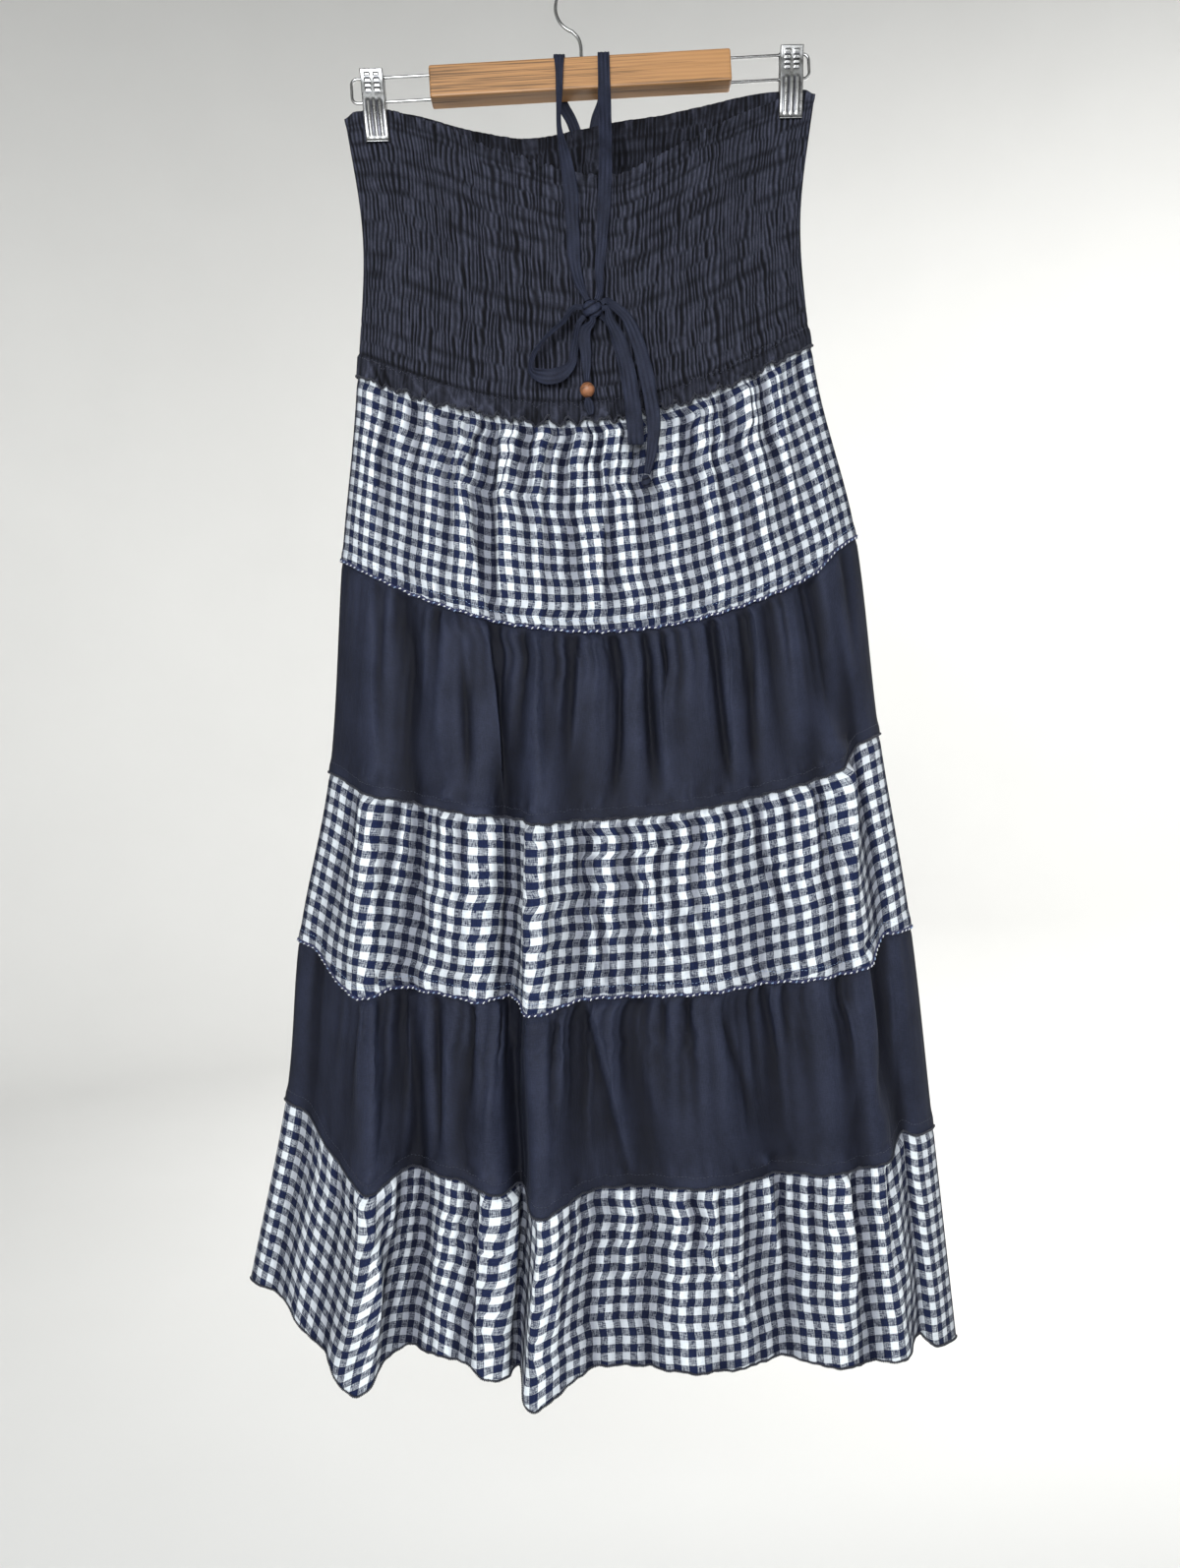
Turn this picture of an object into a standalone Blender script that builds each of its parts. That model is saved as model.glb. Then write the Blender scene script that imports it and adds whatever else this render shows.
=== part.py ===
"""Halter dress with five tiers and a shirred bodice, hanging on a wooden clip hanger.

Metres, +Z up, +X to the right and +Y away from the viewer. The origin is the inside top of the hook,
where the rail bears. The tables below are in millimetres.
"""

import math
from collections import namedtuple

import bmesh
import bpy
import numpy as np
from mathutils import Matrix, Vector

MM = 0.001

# Gaps that touching pieces keep
SEAM_GAP = 0.3
SLOPE_ROOM = 2.2
WAIST_GAP = 0.4
REST_GAP = 0.3

# Cloth
WALL = 1.5
RIB_RISE = 1.0
CASING_RISE = 0.7
GATHER_RISE = 2.2
FRILL_FLARE = 1.6
FRILL_STARTS = 0.90
FRILL_WAVES = 18
FRILL_WANDER = 1.3
FRILL_WANDERS = 5.0
GATHERS_PER_PANEL = 12
GATHER_WANDER = 1.1
GATHER_WANDERS = 3.7
GATHER_DRIFT = 0.6
GATHER_DRIFTS = 9.0
GATHER_GROWN = 0.09
GATHER_LEAST = 0.15
GATHER_POWER = 1.3
GATHER_LEAVES = 0.8
CASING_LEAST = 0.6
BODICE_COLUMNS = 64
FRONT_COLUMNS = 42
BACK_COLUMNS = 28
BODICE_ROWS = (0.0, 0.035, 0.07, 0.24, 0.42, 0.60, 0.78, 0.92, 1.0)
TIER_ROWS = (0.0, 0.1, 0.5, 1.0)
CASING_ROWS = (1,)
PLAIN_ROWS = (0, 2, 8)
SEAM_CROWDING = 0.22
LENS_POWER = 2.4
LENS_ROUND = 0.7
BACK_SAG_POWER = 4
SEAM_FADE_POWER = 8
RIB_FADE_POWER = 16
SHORTEST_RUN = 0.5

# Level 0 is the top edge, 1 the waist seam, 2 to 5 the seams between the tiers and 6 the hem.
Level = namedtuple(
    "Level",
    "at left right left_z right_z front_z back_z front_depth back_depth left_tuck right_tuck",
)
LEVELS = (
    Level(0.0, -205, 201, -107, -93, -185, -117, 35, 14, 0, 0),
    Level(0.5, -191, 186, -216, -205, -286, -226, 36, 18, 0, 0),
    Level(1.0, -197, 192, -331, -312, -388, -336, 42, 22, 0, 0),
    Level(2.0, -213, 227, -489, -477, -562, -497, 52, 30, 0, 12),
    Level(3.0, -227, 244, -671, -647, -715, -662, 60, 36, 6, 16),
    Level(4.0, -256, 268, -815, -813, -858, -818, 66, 40, 24, 22),
    Level(5.0, -270, 284, -952, -985, -1008, -972, 74, 46, 28, 10),
    Level(6.0, -304, 301, -1110, -1172, -1152, -1130, 80, 50, 28, -4),
)
# How deep the top edge sags at each place across a panel, as shares of its sag in the middle
TopEdge = namedtuple("TopEdge", "place front back")
TOP_EDGES = (
    TopEdge(-1.0, 0.0, 0.0),
    TopEdge(-0.8, 0.0, 0.05),
    TopEdge(-0.6, 0.28, 0.38),
    TopEdge(-0.45, 0.56, 0.75),
    TopEdge(-0.25, 0.77, 1.22),
    TopEdge(0.0, 0.98, 0.9),
    TopEdge(0.15, 1.0, 0.62),
    TopEdge(0.35, 0.8, 0.42),
    TopEdge(0.55, 0.52, 0.1),
    TopEdge(0.75, 0.19, 0.06),
    TopEdge(1.0, 0.0, 0.0),
)
FIRST_FOLD_LEVEL = 2.0
LOWER_FOLD_LEVEL = 3.0
HEM_LEVEL = 6.0
UPPER_FOLD_SHARE = 0.75
TUCK_PLACES = {"left": (-0.93, -0.86), "right": (0.86, 0.83)}
TUCK_SOFTNESS = 0.022

# A fold's place is a share of the half width, at level 2 and at the hem. Depth is towards the viewer
# on the front and towards the wall on the back; a valley has a negative depth. Lean is how far the
# crest leans sideways, as a share of the depth, and drop is how far it hangs down at the hem.
Fold = namedtuple("Fold", "top hem starts full depth width lean drop")
FRONT_FOLDS = (
    Fold(-0.95, -0.92, 3.0, 4.6, -12, 0.045, 0.2, 0),
    Fold(-0.89, -0.68, 1.5, 4.5, 19, 0.070, 0.3, 34),
    Fold(-0.74, -0.54, 1.1, 4.5, -15, 0.060, 0.4, 0),
    Fold(-0.52, -0.29, 1.3, 5.0, 8, 0.060, 0.2, 12),
    Fold(-0.40, -0.215, 1.1, 3.5, -16, 0.050, 0.0, 0),
    Fold(-0.22, -0.135, 1.6, 3.8, 21, 0.062, -0.75, 26),
    Fold(0.04, 0.10, 1.4, 5.0, -6, 0.100, 0.0, 0),
    Fold(0.30, 0.25, 1.8, 5.0, 7, 0.110, -0.2, 0),
    Fold(0.52, 0.47, 1.5, 5.2, -8, 0.080, 0.0, -5),
    Fold(0.66, 0.64, 1.4, 5.0, 9, 0.080, 0.3, 0),
    Fold(0.81, 0.78, 1.7, 3.6, 11, 0.045, 0.7, 0),
    Fold(0.90, 0.86, 1.7, 3.6, -14, 0.045, 0.3, -18),
)
BACK_FOLDS = (
    Fold(-0.80, -0.78, 1.4, 4.5, -10, 0.08, 0.0, 0),
    Fold(-0.60, -0.58, 1.6, 5.0, 12, 0.09, 0.4, 10),
    Fold(-0.36, -0.38, 1.2, 4.5, -9, 0.08, 0.2, 0),
    Fold(-0.14, -0.12, 1.8, 5.0, 10, 0.09, -0.3, 8),
    Fold(0.10, 0.14, 1.4, 4.8, -8, 0.09, 0.0, 0),
    Fold(0.34, 0.38, 1.5, 5.0, 12, 0.09, 0.4, 10),
    Fold(0.58, 0.62, 1.3, 4.5, -10, 0.08, -0.2, 0),
    Fold(0.80, 0.80, 1.6, 4.8, 9, 0.08, 0.3, 6),
)

# Hanger
HANGER_TILT = math.radians(2.15)
BAR_SIZE = (259.0, 19.5, 27.6)
BAR_MIDDLE = (-1.2, 0.0, -81.0)
BAR_ROUNDING = 1.6
HOOK_WIRE = 3.0
HOOK_INSIDE = 20.0
HOOK_LEAVES = 250.0
HOOK_TIP = 28.0
HOOK_SECTIONS = 18
# How far the hook's stem stands left of the bar's middle, and above its foot
Rise = namedtuple("Rise", "left up")
HOOK_STEM = (Rise(0.0, 0.0), Rise(0.0, 9.0), Rise(0.4, 15.0), Rise(2.4, 21.0))
ARM_WIRE = 2.6
ARM_RISE = 21.0
ARM_REACH = 68.0
ARM_BEND = 5.25
ARM_TURNS = (30.0, 60.0, 90.0)

# Clips: the body rides on both wires of its arm, and the two jaws lie against the body.
CLIP_TILT = {"left": math.radians(4.0), "right": math.radians(-2.0)}
CLIP_PLACE = {"left": (-181.0, -72.5), "right": (181.5, -59.2)}
CLIP_WIDE = 20.0
CLIP_TALL = 60.8
CLIP_BODY = (15.0, 8.4, 29.0)
CLIP_BODY_SHIFT = 1.0
CLIP_SHEET = 1.0
CLIP_RIB_RISE = 0.8
CLIP_GRIP_RISE = 0.64
CLIP_GRIP_HALF = 0.36
CLIP_LIP_DOWN = 0.8
CLIP_BORE_SLACK = 0.6
# The jaw's sections: the share of the way down, the face it follows, how far it stands off that face, and
# what is pressed into it there
JawSection = namedtuple("JawSection", "down face off pressed")
JAW_SECTIONS = (
    JawSection(0.0, "body", 1.6, None),
    JawSection(0.14, "body", 0.0, "grip"),
    JawSection(0.26, "body", 0.0, None),
    JawSection(0.42, "body", 0.0, "grip"),
    JawSection(0.62, "body", -0.2, "ribs"),
    JawSection(0.80, "lip", 1.2, "ribs"),
    JawSection(0.92, "lip", 0.0, None),
    JawSection(1.0, "lip", 0.0, None),
)
JAW_RIBS = (0, 1, 0, 0, 1, 0, 0, 1, 0)
CLIP_FLAT = 15.0
CLIP_FADE = 80.0
GRIP_ENDS = 0.24
GRIP_FADES = 0.62

# Ties and bow
TIE_THICK = 1.2
BEAD_SIZE = 12.0
# Millimetres: where the middle of the tie is, how wide it is, and which way its width runs.
Stop = namedtuple("Stop", "x y z wide ax ay az")
TIE_LEFT = (
    Stop(-6, 18.3, -140, 10, 1, 0, 0),
    Stop(-5, 18.3, -122, 10, 1, 0, 0),
    Stop(-10, 16, -107, 10, 1, 0, 0),
    Stop(-17, 11.5, -96, 10, 1, 0, 0),
    Stop(-19, 11.3, -74, 10, 1, 0, 0),
    Stop(-19, 9.2, -65.6, 10, 1, 0, 0),
    Stop(-19, 0, -64.9, 10, 1, 0, 0),
    Stop(-19, -9.2, -65.6, 10, 1, 0, 0),
    Stop(-19, -11.3, -74, 10, 1, 0, 0),
    Stop(-19.5, -12.2, -98, 9, 1, 0, 0),
    Stop(-20, -24, -135, 5, 1, 0.3, 0),
    Stop(-16, -37, -165, 9, 1, -0.2, 0),
    Stop(-12, -41, -190, 12, 1, 0, 0),
    Stop(-10, -41.2, -230, 11, 1, 0, 0),
    Stop(-7, -41.4, -270, 9, 1, 0, 0),
)
TIE_RIGHT = (
    Stop(10, 18.3, -138, 10, 1, 0, 0),
    Stop(10, 18.3, -122, 10, 1, 0, 0),
    Stop(13, 16, -106, 10, 1, 0, 0),
    Stop(18, 11.5, -95, 10, 1, 0, 0),
    Stop(19, 11.3, -73, 10, 1, 0, 0),
    Stop(19, 9.2, -64.4, 10, 1, 0, 0),
    Stop(19, 0, -63.7, 10, 1, 0, 0),
    Stop(19, -9.2, -64.4, 10, 1, 0, 0),
    Stop(19, -11.3, -73, 10, 1, 0, 0),
    Stop(19, -12.2, -98, 11, 1, 0, 0),
    Stop(19, -25, -140, 11, 1, 0, 0),
    Stop(18, -39, -180, 11, 1, 0, 0),
    Stop(17, -41, -200, 11, 1, 0, 0),
    Stop(14, -41.2, -240, 9, 1, 0, 0),
    Stop(11, -41.8, -270, 7, 1, 0, 0),
)
KNOT_MIDDLE = (5.0, -45.5, -299.0)
KNOT_SIZE = (17.0, 10.5, 15.0)
LOOP_LEFT = (
    Stop(-20, -50.5, -312, 8, -0.5, 0.2, 0.8),
    Stop(-35, -51, -326, 8, -0.7, 0.3, 0.7),
    Stop(-45, -51.5, -341, 8, -0.9, 0.4, 0.4),
    Stop(-46, -52, -351, 9, -0.8, 0.5, -0.3),
    Stop(-36, -52.5, -356, 12, -0.1, 0.2, -1),
    Stop(-24, -52, -355, 12, 0.1, 0.1, -1),
    Stop(-14, -50.2, -347, 8, 0.8, 0, -0.6),
    Stop(-10, -48, -330, 7, 1, 0, -0.2),
)
LOOP_RIGHT = (
    Stop(19, -50.3, -309, 7, 0.8, 0, 0.7),
    Stop(25, -51.7, -322, 9, 0.9, 0, 0.5),
    Stop(32, -53, -345, 11, 1, 0, 0.3),
    Stop(36, -55, -375, 12, 1, 0, 0.1),
    Stop(38, -57.6, -400, 13, 1, 0, 0),
    Stop(38, -58.3, -411, 13, 1, 0, 0),
    Stop(38.2, -56.3, -414, 13, 1, 0, 0),
    Stop(38.4, -54.3, -411, 13, 1, 0, 0),
    Stop(37, -52.8, -396, 12, 1, 0, 0),
    Stop(33, -51, -365, 10, 1, 0, 0.1),
    Stop(25, -48.2, -330, 8, 1, 0, 0.4),
)
TAIL_LEFT = (
    Stop(-1, -51, -318, 9, 1, 0.1, 0),
    Stop(-1, -51.5, -340, 9, 1, 0, 0),
    Stop(-1, -52, -361.3, 4, 1, 0, 0),
)
BEAD_MIDDLE = (-0.5, -52.0, -367.6)
TAIL_LEFT_END = (
    Stop(-0.5, -52, -374.0, 3, 1, 0, 0),
    Stop(0, -52, -377, 7, 1, 0.2, 0),
    Stop(1, -52, -383, 8, 1, 0.3, 0),
    Stop(2, -52, -388, 4, 1, 0, 0),
)
TAIL_RIGHT = (
    Stop(22, -52, -299, 7, 0.3, 0, 1),
    Stop(33, -55.5, -311, 9, 0.7, 0, 0.7),
    Stop(41, -56, -330, 11, 1, 0, 0.8),
    Stop(49, -56.5, -365, 12, 1, 0, 0.2),
    Stop(53, -57.5, -400, 11, 1, 0, 0),
    Stop(51, -58, -420, 9, 1, 0, 0),
    Stop(47, -58, -439.1, 5, 1, 0, 0),
)
TAIL_RIGHT_KNOT = (46.0, -58.0, -445.0)
TAIL_KNOT_SIZE = (8.0, 6.0, 11.0)
TIE_STEPS = 2
# Where each end leaves the knot: degrees clockwise from straight up, degrees towards the viewer, width,
# and which way its width runs round the knot
KnotEnd = namedtuple("KnotEnd", "turn out wide way")
KNOT_ENDS = {
    "tie_left": KnotEnd(-28, 0, 5, 1),
    "tie_right": KnotEnd(28, 0, 5, 1),
    "loop_left_out": KnotEnd(-85, 15, 4.5, 1),
    "loop_left_back": KnotEnd(-130, -10, 4.5, -1),
    "loop_right_out": KnotEnd(95, 20, 4.5, -1),
    "loop_right_back": KnotEnd(125, -10, 4.5, -1),
    "tail_left": KnotEnd(180, 15, 5, -1),
    "tail_right": KnotEnd(60, 10, 4.5, -1),
}
KNOT_CLEAR = 0.5
KNOT_LEAD = 4.0

# Colour, roughness and metallic
NAVY_SHIRRED = (0.030, 0.032, 0.055, 0.9, 0.0)
NAVY_PLAIN = (0.024, 0.028, 0.050, 0.75, 0.0)
GINGHAM = (0.30, 0.32, 0.42, 0.85, 0.0)
WOOD = (0.50, 0.25, 0.09, 0.5, 0.0)
CHROME = (0.75, 0.75, 0.77, 0.18, 1.0)
BEAD_WOOD = (0.42, 0.19, 0.09, 0.4, 0.0)


def smoothstep(value, low, high):
    share = np.clip((value - low) / (high - low), 0.0, 1.0)
    return share * share * (3.0 - 2.0 * share)


def smooth_through(places, values, at):
    """A cubic through values given at places, read at the array at."""
    places = np.asarray(places, float)
    values = np.asarray(values, float)
    slopes = np.gradient(values, places)
    at = np.clip(at, places[0], places[-1])
    k = np.clip(np.searchsorted(places, at, side="right") - 1, 0, len(places) - 2)
    span = places[k + 1] - places[k]
    s = (at - places[k]) / span
    from_low = (1 + 2 * s) * (1 - s) ** 2 * values[k] + s * (1 - s) ** 2 * span * slopes[k]
    from_high = s * s * (3 - 2 * s) * values[k + 1] + s * s * (s - 1) * span * slopes[k + 1]
    return from_low + from_high


def level_value(name, t):
    places = [level.at for level in LEVELS]
    values = [getattr(level, name) for level in LEVELS]
    return smooth_through(places, values, t)


def clip_pinch(x, t):
    """1 where a clip presses the front and back together, 0 away from the clips."""
    pinch = 0.0
    for side in ("left", "right"):
        middle = CLIP_PLACE[side][0] + CLIP_TALL * CLIP_LIP_DOWN * math.sin(CLIP_TILT[side])
        away = np.abs(x - middle)
        pinch = pinch + 1.0 - smoothstep(away, CLIP_FLAT, CLIP_FADE)
    return pinch * (1.0 - smoothstep(t, GRIP_ENDS, GRIP_FADES))


def down_the_skirt(top, hem, t):
    """The value at t of what goes evenly from top, at the first fold level, to hem."""
    return top + (hem - top) * (t - FIRST_FOLD_LEVEL) / (HEM_LEVEL - FIRST_FOLD_LEVEL)


def seam_fade(u):
    return 1.0 - u**SEAM_FADE_POWER


def tuck(side, u, t):
    place = down_the_skirt(*TUCK_PLACES[side], t)
    inwards = -1.0 if side == "right" else 1.0
    inside = 1.0 / (1.0 + np.exp(-inwards * (u - place) / TUCK_SOFTNESS))
    return inside * level_value(side + "_tuck", t)


def top_sag(side, u):
    """How deep the top edge sags at u, as a share of its sag in the middle."""
    return smooth_through([edge.place for edge in TOP_EDGES], [getattr(edge, side) for edge in TOP_EDGES], u)


def panel_point(side, u, t):
    """The middle form of one side of the dress; u is -1 at the left seam and 1 at the right one."""
    front = side == "front"
    facing = -1.0 if front else 1.0
    left = level_value("left", t)
    right = level_value("right", t)
    x = (left + right) / 2 + (right - left) / 2 * u
    lens = np.maximum(1.0 - np.abs(u) ** LENS_POWER, 0.0) ** LENS_ROUND
    depth = level_value(side + "_depth", t) * lens
    edges = level_value("left_z", t) * (1 - u) / 2 + level_value("right_z", t) * (1 + u) / 2
    middle_of_edges = (level_value("left_z", t) + level_value("right_z", t)) / 2
    sag = level_value(side + "_z", t) - middle_of_edges
    round_sag = 1.0 - u * u
    low = smoothstep(t, 0.0, 1.0)
    if front:
        tucked = tuck("left", u, t) * (1 - u) / 2 + tuck("right", u, t) * (1 + u) / 2
        rest_of_sag = sag + (level_value("left_tuck", t) + level_value("right_tuck", t)) / 2
        z = edges - tucked + rest_of_sag * (low * round_sag + (1 - low) * top_sag(side, u))
    else:
        z = edges + sag * (low * (1.0 - u**BACK_SAG_POWER) + (1 - low) * top_sag(side, u))
    lower = smoothstep(t, LOWER_FOLD_LEVEL, HEM_LEVEL)
    strength = UPPER_FOLD_SHARE + (1.0 - UPPER_FOLD_SHARE) * lower
    for fold in FRONT_FOLDS if front else BACK_FOLDS:
        grown = smoothstep(t, fold.starts, fold.full) * strength * seam_fade(u)
        crest = np.exp(-(((u - down_the_skirt(fold.top, fold.hem, t)) / fold.width) ** 2)) * grown
        depth = depth + fold.depth * crest
        x = x + fold.lean * abs(fold.depth) * crest
        z = z - fold.drop * crest * np.clip(down_the_skirt(0.0, 1.0, t), 0.0, 1.0)
    depth = depth * (1.0 - clip_pinch(x, t)) + SEAM_GAP / 2
    return np.stack([x, facing * depth, z], axis=-1)


def outwards(side, points):
    """Level unit vectors out of the dress at a grid of points, straight sideways at the side seams."""
    runs = np.diff(points[..., :2], axis=1)
    runs /= np.linalg.norm(runs, axis=-1, keepdims=True)
    along = np.zeros_like(points)
    along[:, 1:-1, :2] = runs[:, :-1] + runs[:, 1:]
    facing = 1.0 if side == "front" else -1.0
    out = np.stack([facing * along[..., 1], -facing * along[..., 0], np.zeros_like(along[..., 0])], axis=-1)
    out[:, 0] = (-1.0, 0.0, 0.0)
    out[:, -1] = (1.0, 0.0, 0.0)
    return out / np.linalg.norm(out, axis=-1, keepdims=True)


def seam_room(points, gap):
    """Half of the upright gap that keeps two edges apart, wider where the seam runs steeply."""
    steps = np.gradient(points, axis=0)
    slope = steps[:, 2] / np.maximum(np.hypot(steps[:, 0], steps[:, 1]), SHORTEST_RUN)
    return gap / 2 * np.hypot(1.0, SLOPE_ROOM * slope)


def columns(count):
    """Shares across a panel, closer together near the side seams."""
    even = np.linspace(-1.0, 1.0, count + 1)
    return even * (1.0 + SEAM_CROWDING * (1.0 - even * even))


def closed_wall(name, inner, outer, finish):
    """A closed solid between two grids of points, given in millimetres."""
    rows, across = inner.shape[:2]
    mesh = bmesh.new()
    bmesh.ops.create_grid(mesh, x_segments=across - 1, y_segments=rows - 1, size=1.0)
    place = mesh.verts.layers.int.new("place")
    for number, vert in enumerate(mesh.verts):
        vert[place] = number
    moved = bmesh.ops.extrude_face_region(mesh, geom=mesh.faces[:])["geom"]
    raised = {item for item in moved if isinstance(item, bmesh.types.BMVert)}
    inner_points = inner.reshape(-1, 3) * MM
    outer_points = outer.reshape(-1, 3) * MM
    for vert in mesh.verts:
        points = outer_points if vert in raised else inner_points
        vert.co = points[vert[place]]
    # Facing rims get the same diagonals, so the gap between them stays even.
    bmesh.ops.triangulate(mesh, faces=mesh.faces[:], quad_method="SHORT_EDGE")
    return finish_mesh(name, mesh, finish)


def finish_mesh(name, mesh, finish, smooth_angle=40.0):
    """An object from a mesh in place, smooth except where faces meet at more than smooth_angle degrees."""
    bmesh.ops.recalc_face_normals(mesh, faces=mesh.faces[:])
    data = bpy.data.meshes.new(name)
    mesh.to_mesh(data)
    mesh.free()
    data.shade_smooth()
    data.set_sharp_from_angle(angle=math.radians(smooth_angle))
    data.materials.append(material(name, finish))
    thing = bpy.data.objects.new(name, data)
    bpy.context.scene.collection.objects.link(thing)
    return thing


def material(name, finish):
    look = bpy.data.materials.new(name + "_finish")
    look.use_nodes = True
    shader = look.node_tree.nodes["Principled BSDF"]
    shader.inputs["Base Color"].default_value = (*finish[:3], 1.0)
    shader.inputs["Roughness"].default_value = finish[3]
    shader.inputs["Metallic"].default_value = finish[4]
    return look


def bodice(side):
    """A shirred half: ribs raised over a plain inside, a casing at the top and a frill at the waist."""
    u, t = np.meshgrid(columns(BODICE_COLUMNS), BODICE_ROWS)
    inner = panel_point(side, u, t)
    out = outwards(side, inner)
    column = np.arange(BODICE_COLUMNS + 1)
    frill = smoothstep(t, FRILL_STARTS, 1.0) * seam_fade(u)
    wave = 1.0 + np.sin(math.pi * FRILL_WAVES * u + FRILL_WANDER * np.sin(FRILL_WANDERS * u))
    inner = inner + out * (FRILL_FLARE * frill * wave)[..., None]
    # The ribs stay flat a little further down than the clips hold the cloth.
    free_of_clips = 1.0 - np.clip(clip_pinch(inner[..., 0], t / 2), 0.0, 1.0)
    rise = np.zeros_like(u)
    for row in range(len(BODICE_ROWS)):
        shifted = (column + row // 2) % 2
        rise[row] = RIB_RISE * shifted
        if row in PLAIN_ROWS:
            rise[row] = 0.0
        if row in CASING_ROWS:
            rise[row] = CASING_RISE * (CASING_LEAST + (1.0 - CASING_LEAST) * shifted)
    rise = rise * free_of_clips * (1.0 - u**RIB_FADE_POWER)
    outer = inner + out * (WALL + rise)[..., None]
    room = seam_room(panel_point(side, u[-1], t[-1]), WAIST_GAP)
    inner[-1, :, 2] += room
    outer[-1, :, 2] += room
    return closed_wall("bodice_" + side, inner, outer, NAVY_SHIRRED)


def tier(number, side, finish):
    """One tier of the skirt, gathered into the seam above it."""
    count = FRONT_COLUMNS if side == "front" else BACK_COLUMNS
    u, v = np.meshgrid(columns(count), TIER_ROWS)
    t = number + v
    base = panel_point(side, u, t)
    out = outwards(side, base)
    wander = GATHER_WANDER * np.sin(GATHER_WANDERS * u + number) + GATHER_DRIFT * np.sin(GATHER_DRIFTS * u)
    phase = math.pi * GATHERS_PER_PANEL * u + wander
    fade = GATHER_LEAST + (1.0 - GATHER_LEAST) * (1.0 - v) ** GATHER_POWER
    fade = fade * smoothstep(v, 0.0, GATHER_GROWN) * (1.0 - smoothstep(v, GATHER_LEAVES, 1.0))
    gathers = GATHER_RISE * np.cos(phase) * fade * seam_fade(u)
    inner = base + out * gathers[..., None]
    outer = inner + out * WALL
    top_room = seam_room(base[0], WAIST_GAP if number == 1 else SEAM_GAP)
    low_room = seam_room(base[-1], SEAM_GAP if number < 5 else 0.0)
    for points in (inner, outer):
        points[0, :, 2] -= top_room
        points[-1, :, 2] += low_room
    return closed_wall(f"tier_{number}_{side}", inner, outer, finish)


def smooth_line(rows, steps):
    """Rows read from a smooth curve through every row, steps of them from each row to the next."""
    rows = np.asarray(rows, float)
    lengths = np.linalg.norm(np.diff(rows[:, :3], axis=0), axis=1)
    places = np.concatenate([[0.0], np.cumsum(lengths)])
    parts = [np.linspace(low, high, steps, endpoint=False) for low, high in zip(places, places[1:])]
    at = np.concatenate([*parts, places[-1:]])
    return np.stack([smooth_through(places, column, at) for column in rows.T], axis=1)


def strip(name, stops, finish=NAVY_PLAIN):
    """A flat tie along its stops, made by extruding its cross-section from one section to the next."""
    line = smooth_line(stops, TIE_STEPS)
    middles = line[:, :3]
    along = np.gradient(middles, axis=0)
    along /= np.linalg.norm(along, axis=1, keepdims=True)
    across = line[:, 4:7] - along * np.sum(line[:, 4:7] * along, axis=1, keepdims=True)
    across /= np.linalg.norm(across, axis=1, keepdims=True)
    flat = np.cross(along, across)
    half_wide = across * line[:, 3:4] / 2
    half_thick = flat * TIE_THICK / 2
    rings = np.stack(
        [
            middles - half_wide - half_thick,
            middles + half_wide - half_thick,
            middles + half_wide + half_thick,
            middles - half_wide + half_thick,
        ],
        axis=1,
    )
    mesh = bmesh.new()
    first = [mesh.verts.new(point * MM) for point in rings[0]]
    face = mesh.faces.new(first)
    for ring in rings[1:]:
        face = bmesh.ops.extrude_discrete_faces(mesh, faces=[face])["faces"][0]
        for vert, point in zip(face.verts, ring):
            vert.co = point * MM
    mesh.faces.new(first)
    return finish_mesh(name, mesh, finish, 50.0)


def lump(name, middle, size, finish, segments=12, rings=8):
    """A knot or bead: a squashed ball."""
    mesh = bmesh.new()
    shape = Matrix.Translation(Vector(middle) * MM) @ Matrix.Diagonal((*(Vector(size) * MM / 2), 1.0))
    bmesh.ops.create_uvsphere(mesh, u_segments=segments, v_segments=rings, radius=1.0, matrix=shape)
    return finish_mesh(name, mesh, finish, 80.0)


def from_knot(name):
    """The two stops where a tie, loop or tail leaves the knot, straight out from its surface."""
    end = KNOT_ENDS[name]
    turn = math.radians(end.turn)
    out = math.radians(end.out)
    way = np.array([math.sin(turn) * math.cos(out), -math.sin(out), math.cos(turn) * math.cos(out)])
    radius = 1.0 / np.linalg.norm(way / (np.array(KNOT_SIZE) / 2))
    across = (end.way * math.cos(turn), 0.0, -end.way * math.sin(turn))
    stops = []
    for lead in (KNOT_CLEAR, KNOT_LEAD):
        place = np.array(KNOT_MIDDLE) + way * (radius + lead)
        stops.append(Stop(*place, end.wide, *across))
    return tuple(stops)


def wire(name, points, thick, finish):
    """A round wire as a bevelled curve with filled ends."""
    data = bpy.data.curves.new(name, "CURVE")
    data.dimensions = "3D"
    data.bevel_depth = thick / 2 * MM
    data.bevel_resolution = 2
    data.use_fill_caps = True
    run = data.splines.new("POLY")
    run.points.add(len(points) - 1)
    for stop, point in zip(run.points, points):
        stop.co = (*(Vector(point) * MM), 1.0)
    data.materials.append(material(name, finish))
    thing = bpy.data.objects.new(name, data)
    bpy.context.scene.collection.objects.link(thing)
    return thing


def on_hanger(x, z):
    """A point of the tilted hanger, given from the middle of its bar."""
    return (
        BAR_MIDDLE[0] + x * math.cos(HANGER_TILT) - z * math.sin(HANGER_TILT),
        BAR_MIDDLE[1],
        BAR_MIDDLE[2] + x * math.sin(HANGER_TILT) + z * math.cos(HANGER_TILT),
    )


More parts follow.
